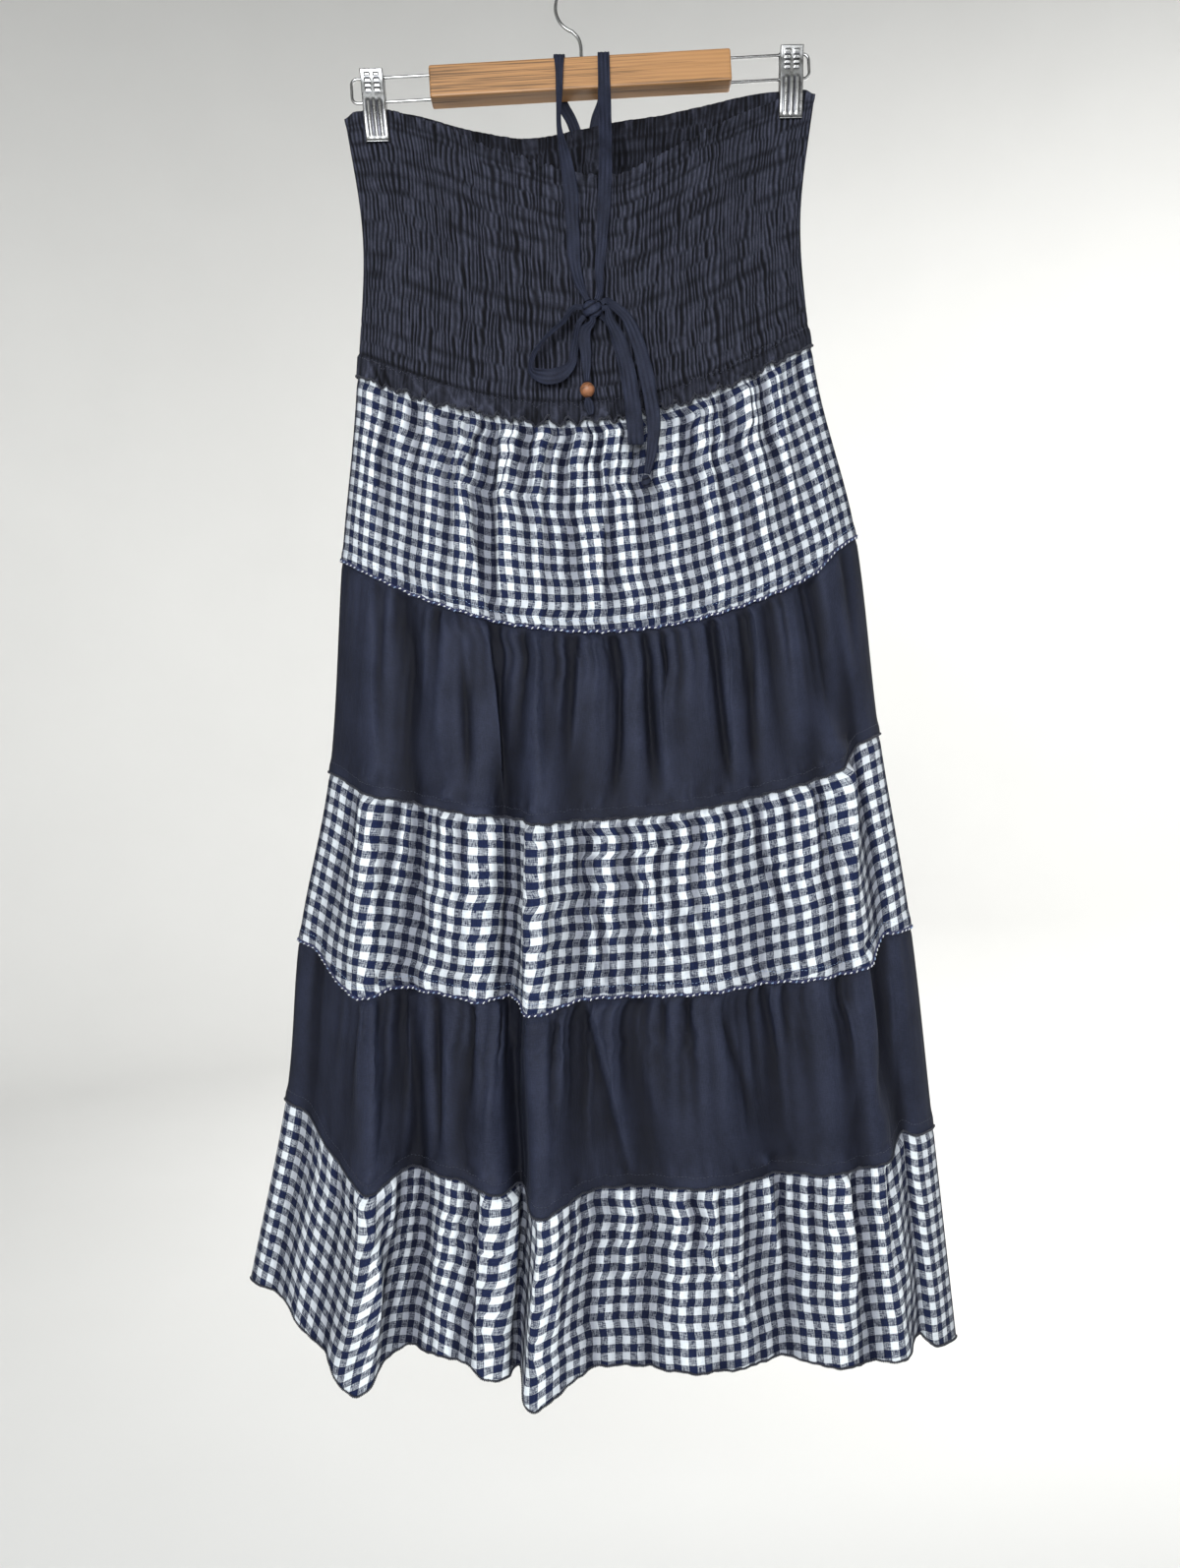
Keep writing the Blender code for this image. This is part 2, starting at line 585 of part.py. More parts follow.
def hanger_bar():
    mesh = bmesh.new()
    bmesh.ops.create_cube(mesh, size=1.0, matrix=Matrix.Diagonal((*(Vector(BAR_SIZE) * MM), 1.0)))
    bmesh.ops.bevel(
        mesh,
        geom=mesh.edges[:],
        offset=BAR_ROUNDING * MM,
        segments=2,
        profile=0.5,
        affect="EDGES",
        material=-1,
    )
    place = Matrix.Translation(Vector(BAR_MIDDLE) * MM) @ Matrix.Rotation(-HANGER_TILT, 4, "Y")
    bmesh.ops.transform(mesh, matrix=place, verts=mesh.verts[:])
    return finish_mesh("hanger_bar", mesh, WOOD)


def hook():
    """The stem rises from the bar, swings left and rounds over the top to a free end at the right."""
    reach = HOOK_INSIDE + HOOK_WIRE / 2
    arc = []
    for angle in np.linspace(HOOK_LEAVES, HOOK_TIP, HOOK_SECTIONS):
        turn = math.radians(angle)
        arc.append((reach * math.cos(turn), 0.0, reach * math.sin(turn) - HOOK_INSIDE))
    foot = BAR_MIDDLE[2] + BAR_SIZE[2] / 2 + REST_GAP
    stem = [(-rise.left, 0.0, foot + rise.up) for rise in HOOK_STEM]
    return wire("hook", stem + arc, HOOK_WIRE, CHROME)


def arm(side):
    """A bent wire that leaves the end of the bar, turns back on itself and returns to the bar."""
    out = -1.0 if side == "left" else 1.0
    start = BAR_SIZE[0] / 2 + REST_GAP
    corner = ARM_REACH - ARM_BEND
    ends = []
    for height in (1.0, -1.0):
        run = [on_hanger(out * (start + share * corner), height * ARM_RISE / 2) for share in (0.0, 0.5, 1.0)]
        turns = []
        for angle in ARM_TURNS:
            turn = math.radians(angle)
            reach = out * (start + corner + ARM_BEND * math.sin(turn))
            turns.append(on_hanger(reach, height * (ARM_RISE / 2 - ARM_BEND * (1 - math.cos(turn)))))
        ends.append(run + turns)
    return wire("arm_" + side, ends[0] + ends[1][::-1], ARM_WIRE, CHROME)


def clip_body(side):
    """A block bored for the two wires of the arm."""
    middle = on_hanger(CLIP_PLACE[side][0] + CLIP_BODY_SHIFT, 0.0)
    turn = Matrix.Rotation(-HANGER_TILT, 4, "Y")
    place = Matrix.Translation(Vector(middle) * MM) @ turn
    mesh = bmesh.new()
    bmesh.ops.create_cube(mesh, size=1.0, matrix=Matrix.Diagonal((*(Vector(CLIP_BODY) * MM), 1.0)))
    bmesh.ops.transform(mesh, matrix=place, verts=mesh.verts[:])
    block = finish_mesh(f"clip_{side}_body", mesh, CHROME)
    for name, height in (("upper", ARM_RISE / 2), ("lower", -ARM_RISE / 2)):
        bore = bmesh.new()
        lie = place @ Matrix.Translation((0.0, 0.0, height * MM)) @ Matrix.Rotation(math.pi / 2, 4, "Y")
        radius = (ARM_WIRE / 2 + CLIP_BORE_SLACK) * MM
        bmesh.ops.create_cone(
            bore,
            cap_ends=True,
            segments=10,
            radius1=radius,
            radius2=radius,
            depth=2 * CLIP_BODY[0] * MM,
            matrix=lie,
        )
        cutter = finish_mesh(f"{side}_{name}_bore", bore, CHROME)
        cutter.hide_render = True
        cutter.display_type = "WIRE"
        cut = block.modifiers.new(name, "BOOLEAN")
        cut.operation = "DIFFERENCE"
        cut.solver = "EXACT"
        cut.object = cutter
    return block


def clip_jaw(side, face):
    """A pressed sheet from the finger grip down to the lip, with raised ribs."""
    out = -1.0 if face == "front" else 1.0
    x, z = CLIP_PLACE[side]
    faces = {"body": CLIP_BODY[1] / 2 + REST_GAP, "lip": WALL + SEAM_GAP / 2 + REST_GAP}
    shares = np.linspace(-0.5, 0.5, len(JAW_RIBS))
    rises = {
        None: np.zeros(len(shares)),
        "grip": CLIP_GRIP_RISE * (np.abs(shares) < CLIP_GRIP_HALF),
        "ribs": CLIP_RIB_RISE * np.array(JAW_RIBS),
    }
    inner = np.zeros((len(JAW_SECTIONS), len(shares), 3))
    for row, section in enumerate(JAW_SECTIONS):
        down = section.down * CLIP_TALL
        inner[row, :, 0] = x + shares * CLIP_WIDE + math.tan(CLIP_TILT[side]) * down
        inner[row, :, 1] = out * (faces[section.face] + section.off)
        inner[row, :, 2] = z - down
    rise = np.stack([rises[section.pressed] for section in JAW_SECTIONS])
    outer = inner.copy()
    outer[..., 1] += out * (CLIP_SHEET + rise)
    return closed_wall(f"clip_{side}_{face}_jaw", inner, outer, CHROME)


def main():
    for thing in list(bpy.data.objects):
        bpy.data.objects.remove(thing, do_unlink=True)
    hanger_bar()
    hook()
    for side in ("left", "right"):
        arm(side)
        clip_body(side)
        for face in ("front", "back"):
            clip_jaw(side, face)
    for side in ("front", "back"):
        bodice(side)
        for number in range(1, 6):
            tier(number, side, GINGHAM if number % 2 else NAVY_PLAIN)
    strip("tie_left", TIE_LEFT + from_knot("tie_left")[::-1])
    strip("tie_right", TIE_RIGHT + from_knot("tie_right")[::-1])
    lump("bow_knot", KNOT_MIDDLE, KNOT_SIZE, NAVY_PLAIN)
    strip("bow_loop_left", from_knot("loop_left_out") + LOOP_LEFT + from_knot("loop_left_back")[::-1])
    strip("bow_loop_right", from_knot("loop_right_out") + LOOP_RIGHT + from_knot("loop_right_back")[::-1])
    strip("tail_left", from_knot("tail_left") + TAIL_LEFT)
    lump("tail_left_bead", BEAD_MIDDLE, (BEAD_SIZE, BEAD_SIZE, BEAD_SIZE), BEAD_WOOD)
    strip("tail_left_end", TAIL_LEFT_END)
    strip("tail_right", from_knot("tail_right") + TAIL_RIGHT)
    lump("tail_right_knot", TAIL_RIGHT_KNOT, TAIL_KNOT_SIZE, NAVY_PLAIN)


main()
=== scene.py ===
"""The finished look of a halter dress on a clip hanger: bodice, tiers, ties, trim, wood and metal.

Tables are in millimetres, +X to the right, +Y away from the viewer and +Z up. Level 0 is the dress's top
edge, 1 the waist seam, 2 to 5 the seams between its tiers and 6 the hem.
"""

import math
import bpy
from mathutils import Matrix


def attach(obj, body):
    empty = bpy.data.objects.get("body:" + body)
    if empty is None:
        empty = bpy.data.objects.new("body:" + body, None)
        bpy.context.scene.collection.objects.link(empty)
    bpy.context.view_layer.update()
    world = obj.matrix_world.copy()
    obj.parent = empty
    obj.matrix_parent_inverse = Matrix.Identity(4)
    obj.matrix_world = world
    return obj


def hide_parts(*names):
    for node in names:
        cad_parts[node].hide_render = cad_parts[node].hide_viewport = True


bl_info = {
    "name": "Halter dress on a clip hanger",
    "version": (1, 0, 0),
    "blender": (4, 5, 0),
    "location": "View3D > Sidebar > Dress",
    "description": "Builds the cloth, trim, bow, bead and hanger of a tiered halter dress",
    "category": "Add Mesh",
}

from collections import namedtuple

import bmesh
import bpy
import numpy as np
from bpy.props import FloatProperty, FloatVectorProperty, PointerProperty
from bpy.types import Operator, Panel, PropertyGroup
from mathutils import Matrix, Vector

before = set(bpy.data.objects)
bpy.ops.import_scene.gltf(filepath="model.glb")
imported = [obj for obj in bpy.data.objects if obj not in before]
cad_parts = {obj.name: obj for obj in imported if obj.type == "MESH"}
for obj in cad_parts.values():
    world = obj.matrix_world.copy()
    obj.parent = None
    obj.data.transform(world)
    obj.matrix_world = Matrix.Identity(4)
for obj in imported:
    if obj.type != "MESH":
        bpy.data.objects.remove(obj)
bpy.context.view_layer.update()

MM = 0.001

# Camera, from the photograph's 1200 by 1594 frame
CAMERA_PLACE = (-0.0045, -0.978, -0.690)
CAMERA_ROLL = math.radians(1.1)
PHOTO_HEIGHT = 1594
PHOTO_FOCAL_PIXELS = 1151
SENSOR = 36.0

# The form of the dress
Level = namedtuple(
    "Level",
    "at left right left_z right_z front_z back_z front_depth back_depth left_tuck right_tuck",
)
LEVELS = (
    Level(0.0, -205, 201, -107, -93, -185, -117, 35, 14, 0, 0),
    Level(0.5, -191, 186, -216, -205, -286, -226, 36, 18, 0, 0),
    Level(1.0, -197, 192, -331, -312, -388, -336, 42, 22, 0, 0),
    Level(2.0, -213, 227, -489, -477, -562, -497, 52, 30, 0, 12),
    Level(3.0, -227, 244, -671, -647, -715, -662, 60, 36, 6, 16),
    Level(4.0, -256, 268, -815, -813, -858, -818, 66, 40, 24, 22),
    Level(5.0, -270, 284, -952, -985, -1008, -972, 74, 46, 28, 10),
    Level(6.0, -304, 301, -1110, -1172, -1152, -1130, 80, 50, 28, -4),
)
# How deep the top edge sags at each place across a panel, as shares of its sag in the middle
TopEdge = namedtuple("TopEdge", "place front back")
TOP_EDGES = (
    TopEdge(-1.0, 0.0, 0.0),
    TopEdge(-0.8, 0.0, 0.05),
    TopEdge(-0.6, 0.28, 0.38),
    TopEdge(-0.45, 0.56, 0.75),
    TopEdge(-0.25, 0.77, 1.22),
    TopEdge(0.0, 0.98, 0.9),
    TopEdge(0.15, 1.0, 0.62),
    TopEdge(0.35, 0.8, 0.42),
    TopEdge(0.55, 0.52, 0.1),
    TopEdge(0.75, 0.19, 0.06),
    TopEdge(1.0, 0.0, 0.0),
)
TUCK_PLACES = {"left": (-0.93, -0.86), "right": (0.86, 0.83)}
TUCK_SOFTNESS = 0.022
LENS_POWER = 2.4
LENS_ROUND = 0.7
FIRST_FOLD_LEVEL = 2.0
HEM_LEVEL = 6.0
LAST_TIER = 5
SEAM_GAP = 0.3

# A fold's place is a share of the half width, at level 2 and at the hem. A valley has a negative depth.
Fold = namedtuple("Fold", "top hem starts full depth width lean drop")
FRONT_FOLDS = (
    Fold(-0.95, -0.92, 3.0, 4.6, -12, 0.045, 0.2, 0),
    Fold(-0.89, -0.68, 1.5, 4.5, 19, 0.070, 0.3, 34),
    Fold(-0.74, -0.54, 1.1, 4.5, -15, 0.060, 0.4, 0),
    Fold(-0.52, -0.29, 1.3, 5.0, 8, 0.060, 0.2, 12),
    Fold(-0.40, -0.215, 1.1, 3.5, -16, 0.050, 0.0, 0),
    Fold(-0.22, -0.135, 1.6, 3.8, 21, 0.062, -0.75, 26),
    Fold(0.04, 0.10, 1.4, 5.0, -6, 0.100, 0.0, 0),
    Fold(0.30, 0.25, 1.8, 5.0, 7, 0.110, -0.2, 0),
    Fold(0.52, 0.47, 1.5, 5.2, -8, 0.080, 0.0, -5),
    Fold(0.66, 0.64, 1.4, 5.0, 9, 0.080, 0.3, 0),
    Fold(0.81, 0.78, 1.7, 3.6, 11, 0.045, 0.7, 0),
    Fold(0.90, 0.86, 1.7, 3.6, -14, 0.045, 0.3, -18),
)
BACK_FOLDS = (
    Fold(-0.80, -0.78, 1.4, 4.5, -10, 0.08, 0.0, 0),
    Fold(-0.60, -0.58, 1.6, 5.0, 12, 0.09, 0.4, 10),
    Fold(-0.36, -0.38, 1.2, 4.5, -9, 0.08, 0.2, 0),
    Fold(-0.14, -0.12, 1.8, 5.0, 10, 0.09, -0.3, 8),
    Fold(0.10, 0.14, 1.4, 4.8, -8, 0.09, 0.0, 0),
    Fold(0.34, 0.38, 1.5, 5.0, 12, 0.09, 0.4, 10),
    Fold(0.58, 0.62, 1.3, 4.5, -10, 0.08, -0.2, 0),
    Fold(0.80, 0.80, 1.6, 4.8, 9, 0.08, 0.3, 6),
)

# Creases given one by one: how far the crease stands out (a trough is negative), how soft it is on its left
# and on its right as the panel is seen from the front, and the places (x, z) it runs through
Crease = namedtuple("Crease", "height left right places")
FRONT_CREASES = (
    Crease(5, 14, 2.2, ((-177, -344), (-180, -422), (-184, -494))),
    Crease(6, 22, 2.2, ((-105, -382), (-101, -454), (-93, -529))),
    Crease(4.5, 2.5, 14, ((-73, -390), (-74, -464), (-74, -542))),
    Crease(4, 13, 2.2, ((-39, -390), (-41, -474), (-42, -554))),
    Crease(2.2, 4, 4, ((-14, -388), (-19, -441), (-23, -498))),
    Crease(4.5, 11, 2.2, ((14, -392), (11, -466), (5, -557))),
    Crease(2.5, 4, 4, ((73, -384), (70, -434), (69, -488))),
    Crease(3, 6, 3, ((88, -379), (97, -417), (105, -483), (111, -539))),
    Crease(3, 6, 3, ((101, -372), (119, -438), (128, -524))),
    Crease(3, 7, 3, ((130, -353), (138, -437), (149, -514))),
    Crease(4.5, 7, 2.5, ((154, -340), (163, -404), (175, -482))),
    Crease(-3, 6, 6, ((166, -345), (174, -405), (185, -468))),
    Crease(3.5, 5, 4, ((192, -315), (195, -416), (202, -476))),
    Crease(5, 12, 2.2, ((-183, -507), (-183, -590), (-181, -676))),
    Crease(2, 2, 2, ((-131, -529), (-135, -551), (-140, -569))),
    Crease(3.5, 6, 9, ((-123, -560), (-127, -625), (-124, -682))),
    Crease(-3.5, 4, 4, ((-109, -540), (-106, -610), (-104, -683))),
    Crease(6, 16, 2.2, ((-90, -540), (-83, -610), (-75, -699))),
    Crease(4.5, 8, 2.2, ((-45, -557), (-45, -628), (-45, -691))),
    Crease(3.5, 2.5, 12, ((-9, -567), (-12, -604), (-18, -670))),
    Crease(-3, 10, 10, ((-163, -522), (-154, -574), (-139, -641))),
    Crease(-3.5, 4, 4, ((16, -564), (21, -627), (14, -704))),
    Crease(-4, 4, 4, ((42, -562), (45, -629), (47, -691))),
    Crease(3, 3, 7, ((53, -560), (54, -630), (59, -700))),
    Crease(-2.5, 2.5, 2.5, ((55, -555), (58, -581), (60, -605))),
    Crease(-3.5, 4, 3, ((97, -548), (104, -622), (110, -692))),
    Crease(2.5, 2.5, 12, ((102, -548), (108, -622), (114, -692))),
    Crease(-3, 5, 5, ((123, -545), (128, -606), (131, -693))),
    Crease(2.5, 4, 9, ((132, -543), (136, -598), (140, -645))),
    Crease(-6, 9, 9, ((183, -515), (193, -581), (204, -661))),
    Crease(4, 4, 10, ((201, -490), (211, -563), (225, -629))),
    Crease(5, 14, 2.2, ((-183, -681), (-184, -754), (-187, -845))),
    Crease(-3.5, 7, 6, ((-146, -714), (-149, -763), (-140, -840))),
    Crease(3.5, 5, 14, ((-124, -696), (-118, -778), (-122, -840))),
    Crease(3, 12, 12, ((-94, -706), (-95, -770), (-96, -847))),
    Crease(3.5, 6, 4, ((-48, -715), (-46, -770), (-46, -862))),
    Crease(1.8, 3, 3, ((-34, -719), (-33, -777), (-34, -817))),
    Crease(-4, 3, 5, ((-6, -723), (-8, -770), (3, -819), (7, -863))),
    Crease(2.6, 2.5, 2.5, ((28, -719), (37, -776), (46, -811), (70, -846))),
    Crease(2.4, 2.5, 2.5, ((34, -725), (44, -776), (56, -811), (77, -840))),
    Crease(-3, 4, 4, ((55, -714), (52, -757), (50, -793))),
    Crease(2.4, 3, 3, ((71, -711), (74, -794), (89, -832))),
    Crease(3, 9, 3, ((124, -700), (128, -735), (133, -764))),
    Crease(-4, 5, 5, ((131, -700), (136, -753), (159, -808))),
    Crease(4, 3, 7, ((188, -680), (191, -745), (191, -829))),
    Crease(5, 7, 2.2, ((209, -666), (210, -745), (213, -830))),
    Crease(2, 3, 3, ((235, -652), (235, -680), (236, -722))),
    Crease(6, 8, 2.2, ((-187, -848), (-186, -929), (-186, -1005))),
    Crease(4, 9, 6, ((-155, -859), (-157, -917), (-164, -1001))),
    Crease(-4.5, 4, 4, ((-136, -858), (-133, -922), (-134, -997))),
    Crease(3.2, 2.5, 8, ((-123, -868), (-127, -922), (-129, -987))),
    Crease(-2.5, 2.5, 2.5, ((-104, -859), (-104, -904), (-107, -955))),
    Crease(3.5, 3, 8, ((-85, -862), (-88, -920), (-95, -993))),
    Crease(3.5, 6, 3, ((-46, -869), (-45, -932), (-45, -1008))),
    Crease(2.6, 4, 4, ((-36, -872), (-35, -910), (-33, -957))),
    Crease(4.5, 2.2, 12, ((-9, -869), (4, -922), (23, -1005))),
    Crease(2.4, 8, 8, ((30, -878), (35, -915), (46, -958))),
    Crease(-2.2, 2, 2, ((50, -867), (51, -879), (51, -895))),
    Crease(-2.2, 2, 2, ((70, -864), (70, -887), (69, -910))),
    Crease(-2.2, 4, 4, ((101, -889), (116, -940), (120, -980))),
    Crease(-2.6, 2.5, 2.5, ((132, -852), (136, -880), (139, -908))),
    Crease(-2.6, 3, 3, ((151, -848), (152, -872), (153, -900))),
    Crease(3, 7, 7, ((204, -882), (208, -923), (200, -977))),
    Crease(-6, 6, 6, ((226, -831), (235, -903), (230, -978))),
    Crease(4, 3, 14, ((244, -821), (245, -891), (244, -966))),
    Crease(6, 9, 2.2, ((-188, -1011), (-185, -1092), (-191, -1167))),
    Crease(2.2, 4, 4, ((-175, -1008), (-174, -1041), (-171, -1082))),
    Crease(3.2, 5, 8, ((-152, -1009), (-163, -1075), (-176, -1150))),
    Crease(-3.2, 8, 8, ((-133, -1008), (-145, -1091), (-141, -1143))),
    Crease(-3.8, 4, 3, ((-105, -1008), (-107, -1084), (-109, -1139))),
    Crease(3.2, 3, 12, ((-96, -1010), (-99, -1082), (-101, -1154))),
    Crease(3.2, 10, 3, ((-76, -1012), (-78, -1084), (-84, -1151))),
    Crease(2.6, 4, 4, ((-39, -1019), (-41, -1069), (-40, -1138))),
    Crease(-2.6, 6, 6, ((3, -1019), (9, -1078), (11, -1148))),
    Crease(2.2, 8, 8, ((27, -1021), (28, -1079), (24, -1147))),
    Crease(-2.6, 6, 6, ((65, -1015), (71, -1038), (79, -1069))),
    Crease(2.6, 2.5, 2.5, ((86, -1034), (83, -1061), (105, -1107), (118, -1140))),
    Crease(2.4, 2.5, 2.5, ((94, -1039), (92, -1061), (114, -1104), (126, -1138))),
    Crease(3.6, 9, 2.4, ((132, -1002), (136, -1047), (144, -1086))),
    Crease(-3, 5, 5, ((141, -1003), (148, -1070), (149, -1137))),
    Crease(2, 3, 3, ((179, -1002), (179, -1045), (179, -1092))),
    Crease(3.6, 8, 2.4, ((192, -1001), (197, -1047), (203, -1122))),
    Crease(-5, 5, 5, ((233, -997), (237, -1044), (240, -1108))),
    Crease(4, 2.4, 16, ((245, -988), (242, -1071), (254, -1145))),
)
BACK_CREASES = (
    Crease(4, 10, 3, ((150, -350), (156, -420), (160, -490))),
    Crease(4, 3, 10, ((92, -352), (90, -430), (88, -500))),
    Crease(-3, 5, 5, ((40, -350), (44, -420), (46, -500))),
    Crease(3, 6, 4, ((-30, -352), (-34, -430), (-30, -500))),
    Crease(4.5, 9, 3, ((-104, -350), (-110, -420), (-112, -495))),
    Crease(4, 3, 9, ((160, -510), (166, -580), (170, -655))),
    Crease(-3.5, 4, 4, ((96, -512), (100, -590), (98, -655))),
    Crease(4.5, 10, 3, ((20, -512), (24, -590), (30, -655))),
    Crease(3, 5, 8, ((-60, -512), (-66, -590), (-70, -655))),
    Crease(-4, 5, 5, ((-140, -510), (-146, -580), (-150, -655))),
    Crease(4, 12, 3, ((150, -680), (156, -740), (162, -805))),
    Crease(-3, 6, 6, ((80, -680), (70, -740), (52, -805))),
    Crease(3, 4, 4, ((10, -680), (4, -740), (-20, -800))),
    Crease(4.5, 3, 10, ((-90, -680), (-94, -740), (-96, -805))),
    Crease(4, 8, 3, ((170, -830), (176, -900), (180, -960))),
    Crease(-3.5, 4, 4, ((90, -830), (86, -890), (80, -960))),
    Crease(3.5, 3, 10, ((-10, -830), (-4, -900), (10, -960))),
    Crease(-4, 5, 5, ((-110, -830), (-116, -900), (-120, -960))),
    Crease(4.5, 9, 3, ((180, -985), (186, -1050), (192, -1115))),
    Crease(3, 6, 6, ((70, -985), (78, -1050), (90, -1115))),
    Crease(-4, 6, 6, ((-30, -985), (-36, -1050), (-40, -1115))),
    Crease(4.5, 3, 10, ((-140, -985), (-146, -1050), (-152, -1115))),
)

# Cloth surfaces
BODY_LIFT = 1.6
GATHER_RISE = 2.2
FIRST_TIER_GATHERED = 1.6
CREASE_ROUND = 1.6
CREASE_GAIN = 1.35
CREASE_SPREAD = 1.2
STEEPEST = 0.18
LEAST_LIFT = 0.35
TROUGH_SHARE = 0.35
DEEPEST_TROUGH = 9.0
# For the painted shade in the hollows: how wide a stretch each place is read against, how deep its hollows
# are, and what share it counts for
HOLLOWS = ((9.0, 1.7, 0.5), (24.0, 4.0, 0.5))
GATHERS_PER_PANEL = 12
FRILL_FLARE = 1.6
FRILL_WAVES = 18
SIDE_BUMPS = 1.3
CORNER_DROP = 5.0
LAP = 4.5
TUCKED_UNDER = 3.0
UNDER_LIFT = 0.9
OVER_LIFT = 2.5
FRONT_GRID = (320, 44)
BACK_GRID = (220, 36)

# Small ridges along an edge: the least and the most of their widths, of their heights and of how far from
# the edge they reach, and how far they may lean. A pitch is the usual distance from one to the next.
Ridges = namedtuple("Ridges", "widths heights reaches lean")
FINE_PITCH = 6.0
FINE_GATHERS = Ridges((1.8, 3.6), (0.7, 1.9), (60.0, 170.0), 0.03)
BROAD_PITCH = 30.0
BROAD_GATHERS = Ridges((6.0, 12.0), (0.9, 2.4), (120.0, 300.0), 0.06)
PUCKER_PITCH = 8.0
SEAM_PUCKERS = Ridges((1.6, 3.2), (0.3, 1.0), (8.0, 28.0), 0.05)
HEM_PITCH = 20.0
HEM_WAVES = Ridges((5.0, 11.0), (0.8, 2.2), (20.0, 60.0), 0.05)
FRILL_COUNT = 130
FRILL_CRINKLES = Ridges((1.2, 2.4), (0.6, 1.5), (28.0, 46.0), 0.8)
CASING_COUNT = 120
CASING_GATHERS = Ridges((1.0, 2.0), (0.5, 1.2), (11.0, 15.0), 0.25)

# The width and length in millimetres that each tier's front or back was cut to
Cut = namedtuple("Cut", "width length")
TIER_CUTS = {1: Cut(540, 182), 2: Cut(560, 172), 3: Cut(580, 160), 4: Cut(660, 168), 5: Cut(760, 168)}
BODICE_CUT = Cut(600, 236)

# Shirring: elastic rows, stitches and edges are levels down the bodice, from 0 at its top to 1 at the waist
ROW_BLEND = 0.008
ROW_WIDTH = 0.0045
ROW_DENT = 0.42
RIB_SHIFT = 0.44
VALLEY_DEPTHS = (0.40, 1.0)
CASING_STITCH = 0.049
CASING_EDGE = (0.040, 0.054)
BODICE_HIGH = 250.0
FRILL_DEEP = 30.0
FRILL_TOPS = {"front": (0.918, 0.93, 0.955), "back": (0.95, 0.94, 0.935)}
RIBS = {"front": 104, "back": 100}
BODICE_GRIDS = {"front": (600, 58), "back": (440, 46)}
ELASTIC_ROWS = (
    0.072, 0.13, 0.19, 0.245, 0.31, 0.375, 0.43, 0.495, 0.56, 0.625, 0.68, 0.745, 0.81, 0.87, 0.925,
)

# Hanger and clips
HANGER_TILT = math.radians(2.15)
BAR_SIZE = (259.0, 19.5, 27.6)
BAR_MIDDLE = (-1.2, 0.0, -81.0)
HOOK_WIRE = 3.0
HOOK_INSIDE = 20.0
HOOK_LEAVES = 250.0
HOOK_TIP = 28.0
ARM_WIRE = 2.6
ARM_RISE = 21.0
ARM_REACH = 68.0
REST_GAP = 0.3
CLIP_TILT = {"left": math.radians(4.0), "right": math.radians(-2.0)}
CLIP_PLACE = {"left": (-181.0, -72.5), "right": (181.5, -59.2)}
CLIP_WIDE = 20.0
CLIP_TALL = 60.8
CLIP_BODY = (15.0, 8.4, 29.0)
CLIP_SHEET = 1.0
CLIP_FLAT = 15.0
CLIP_FADE = 80.0
GRIP_ENDS = 0.24
GRIP_FADES = 0.62
CLOTH_WALL = 1.5
# Pressed jaws: their levels and rows are shares of the way down, and their places are across
JAW_SHEET = 0.7
JAW_BEND = 1.2
JAW_FLANGE = 2.2
JAW_LEVELS = (0.0, 0.14, 0.26, 0.42, 0.62, 0.80, 0.92, 1.0)
JAW_RIBS = (-5.0, 0.0, 5.0)
JAW_RIB_EDGES = (-2.0, 2.0)
GRIP_PLACES = (-3.9, 3.9)
GRIP_ROWS = (0.075, 0.145, 0.215, 0.285)

# Ties and bow
TIE_THICK = 1.2
TIE_CREASE = 0.16
STRIP_STEPS = 7
Stop = namedtuple("Stop", "x y z wide ax ay az")
TIE_LEFT = (
    Stop(-6, 18.3, -140, 10, 1, 0, 0),
    Stop(-5, 18.3, -122, 10, 1, 0, 0),
    Stop(-10, 16, -107, 10, 1, 0, 0),
    Stop(-17, 11.5, -96, 10, 1, 0, 0),
    Stop(-19, 11.3, -74, 10, 1, 0, 0),
    Stop(-19, 9.2, -65.6, 10, 1, 0, 0),
    Stop(-19, 0, -64.9, 10, 1, 0, 0),
    Stop(-19, -9.2, -65.6, 9.5, 1, 0, 0),
    Stop(-19, -11.3, -74, 8, 1, 0, 0),
    Stop(-19.5, -12.2, -98, 5.5, 1, 0, 0),
    Stop(-20, -24, -135, 4.2, 1, 0.3, 0),
    Stop(-16, -37, -165, 9, 1, -0.2, 0),
    Stop(-12, -41, -190, 12, 1, 0, 0),
    Stop(-10, -41.2, -230, 11, 1, 0, 0),
    Stop(-7, -41.4, -270, 9, 1, 0, 0),
)
TIE_RIGHT = (
    Stop(10, 18.3, -138, 10, 1, 0, 0),
    Stop(10, 18.3, -122, 10, 1, 0, 0),
    Stop(13, 16, -106, 10, 1, 0, 0),
    Stop(18, 11.5, -95, 10, 1, 0, 0),
    Stop(19, 11.3, -73, 10, 1, 0, 0),
    Stop(19, 9.2, -64.4, 10, 1, 0, 0),
    Stop(19, 0, -63.7, 10, 1, 0, 0),
    Stop(19, -9.2, -64.4, 10, 1, 0, 0),
    Stop(19, -11.3, -73, 10, 1, 0, 0),
    Stop(19, -12.2, -98, 11, 1, 0, 0),
    Stop(19, -25, -140, 11, 1, 0, 0),
    Stop(18, -39, -180, 11, 1, 0, 0),
    Stop(17, -41, -200, 11, 1, 0, 0),
    Stop(14, -41.2, -240, 9, 1, 0, 0),
    Stop(11, -41.8, -270, 7, 1, 0, 0),
)
KNOT_MIDDLE = (5.0, -45.5, -299.0)
KNOT_SIZE = (17.0, 10.5, 15.0)
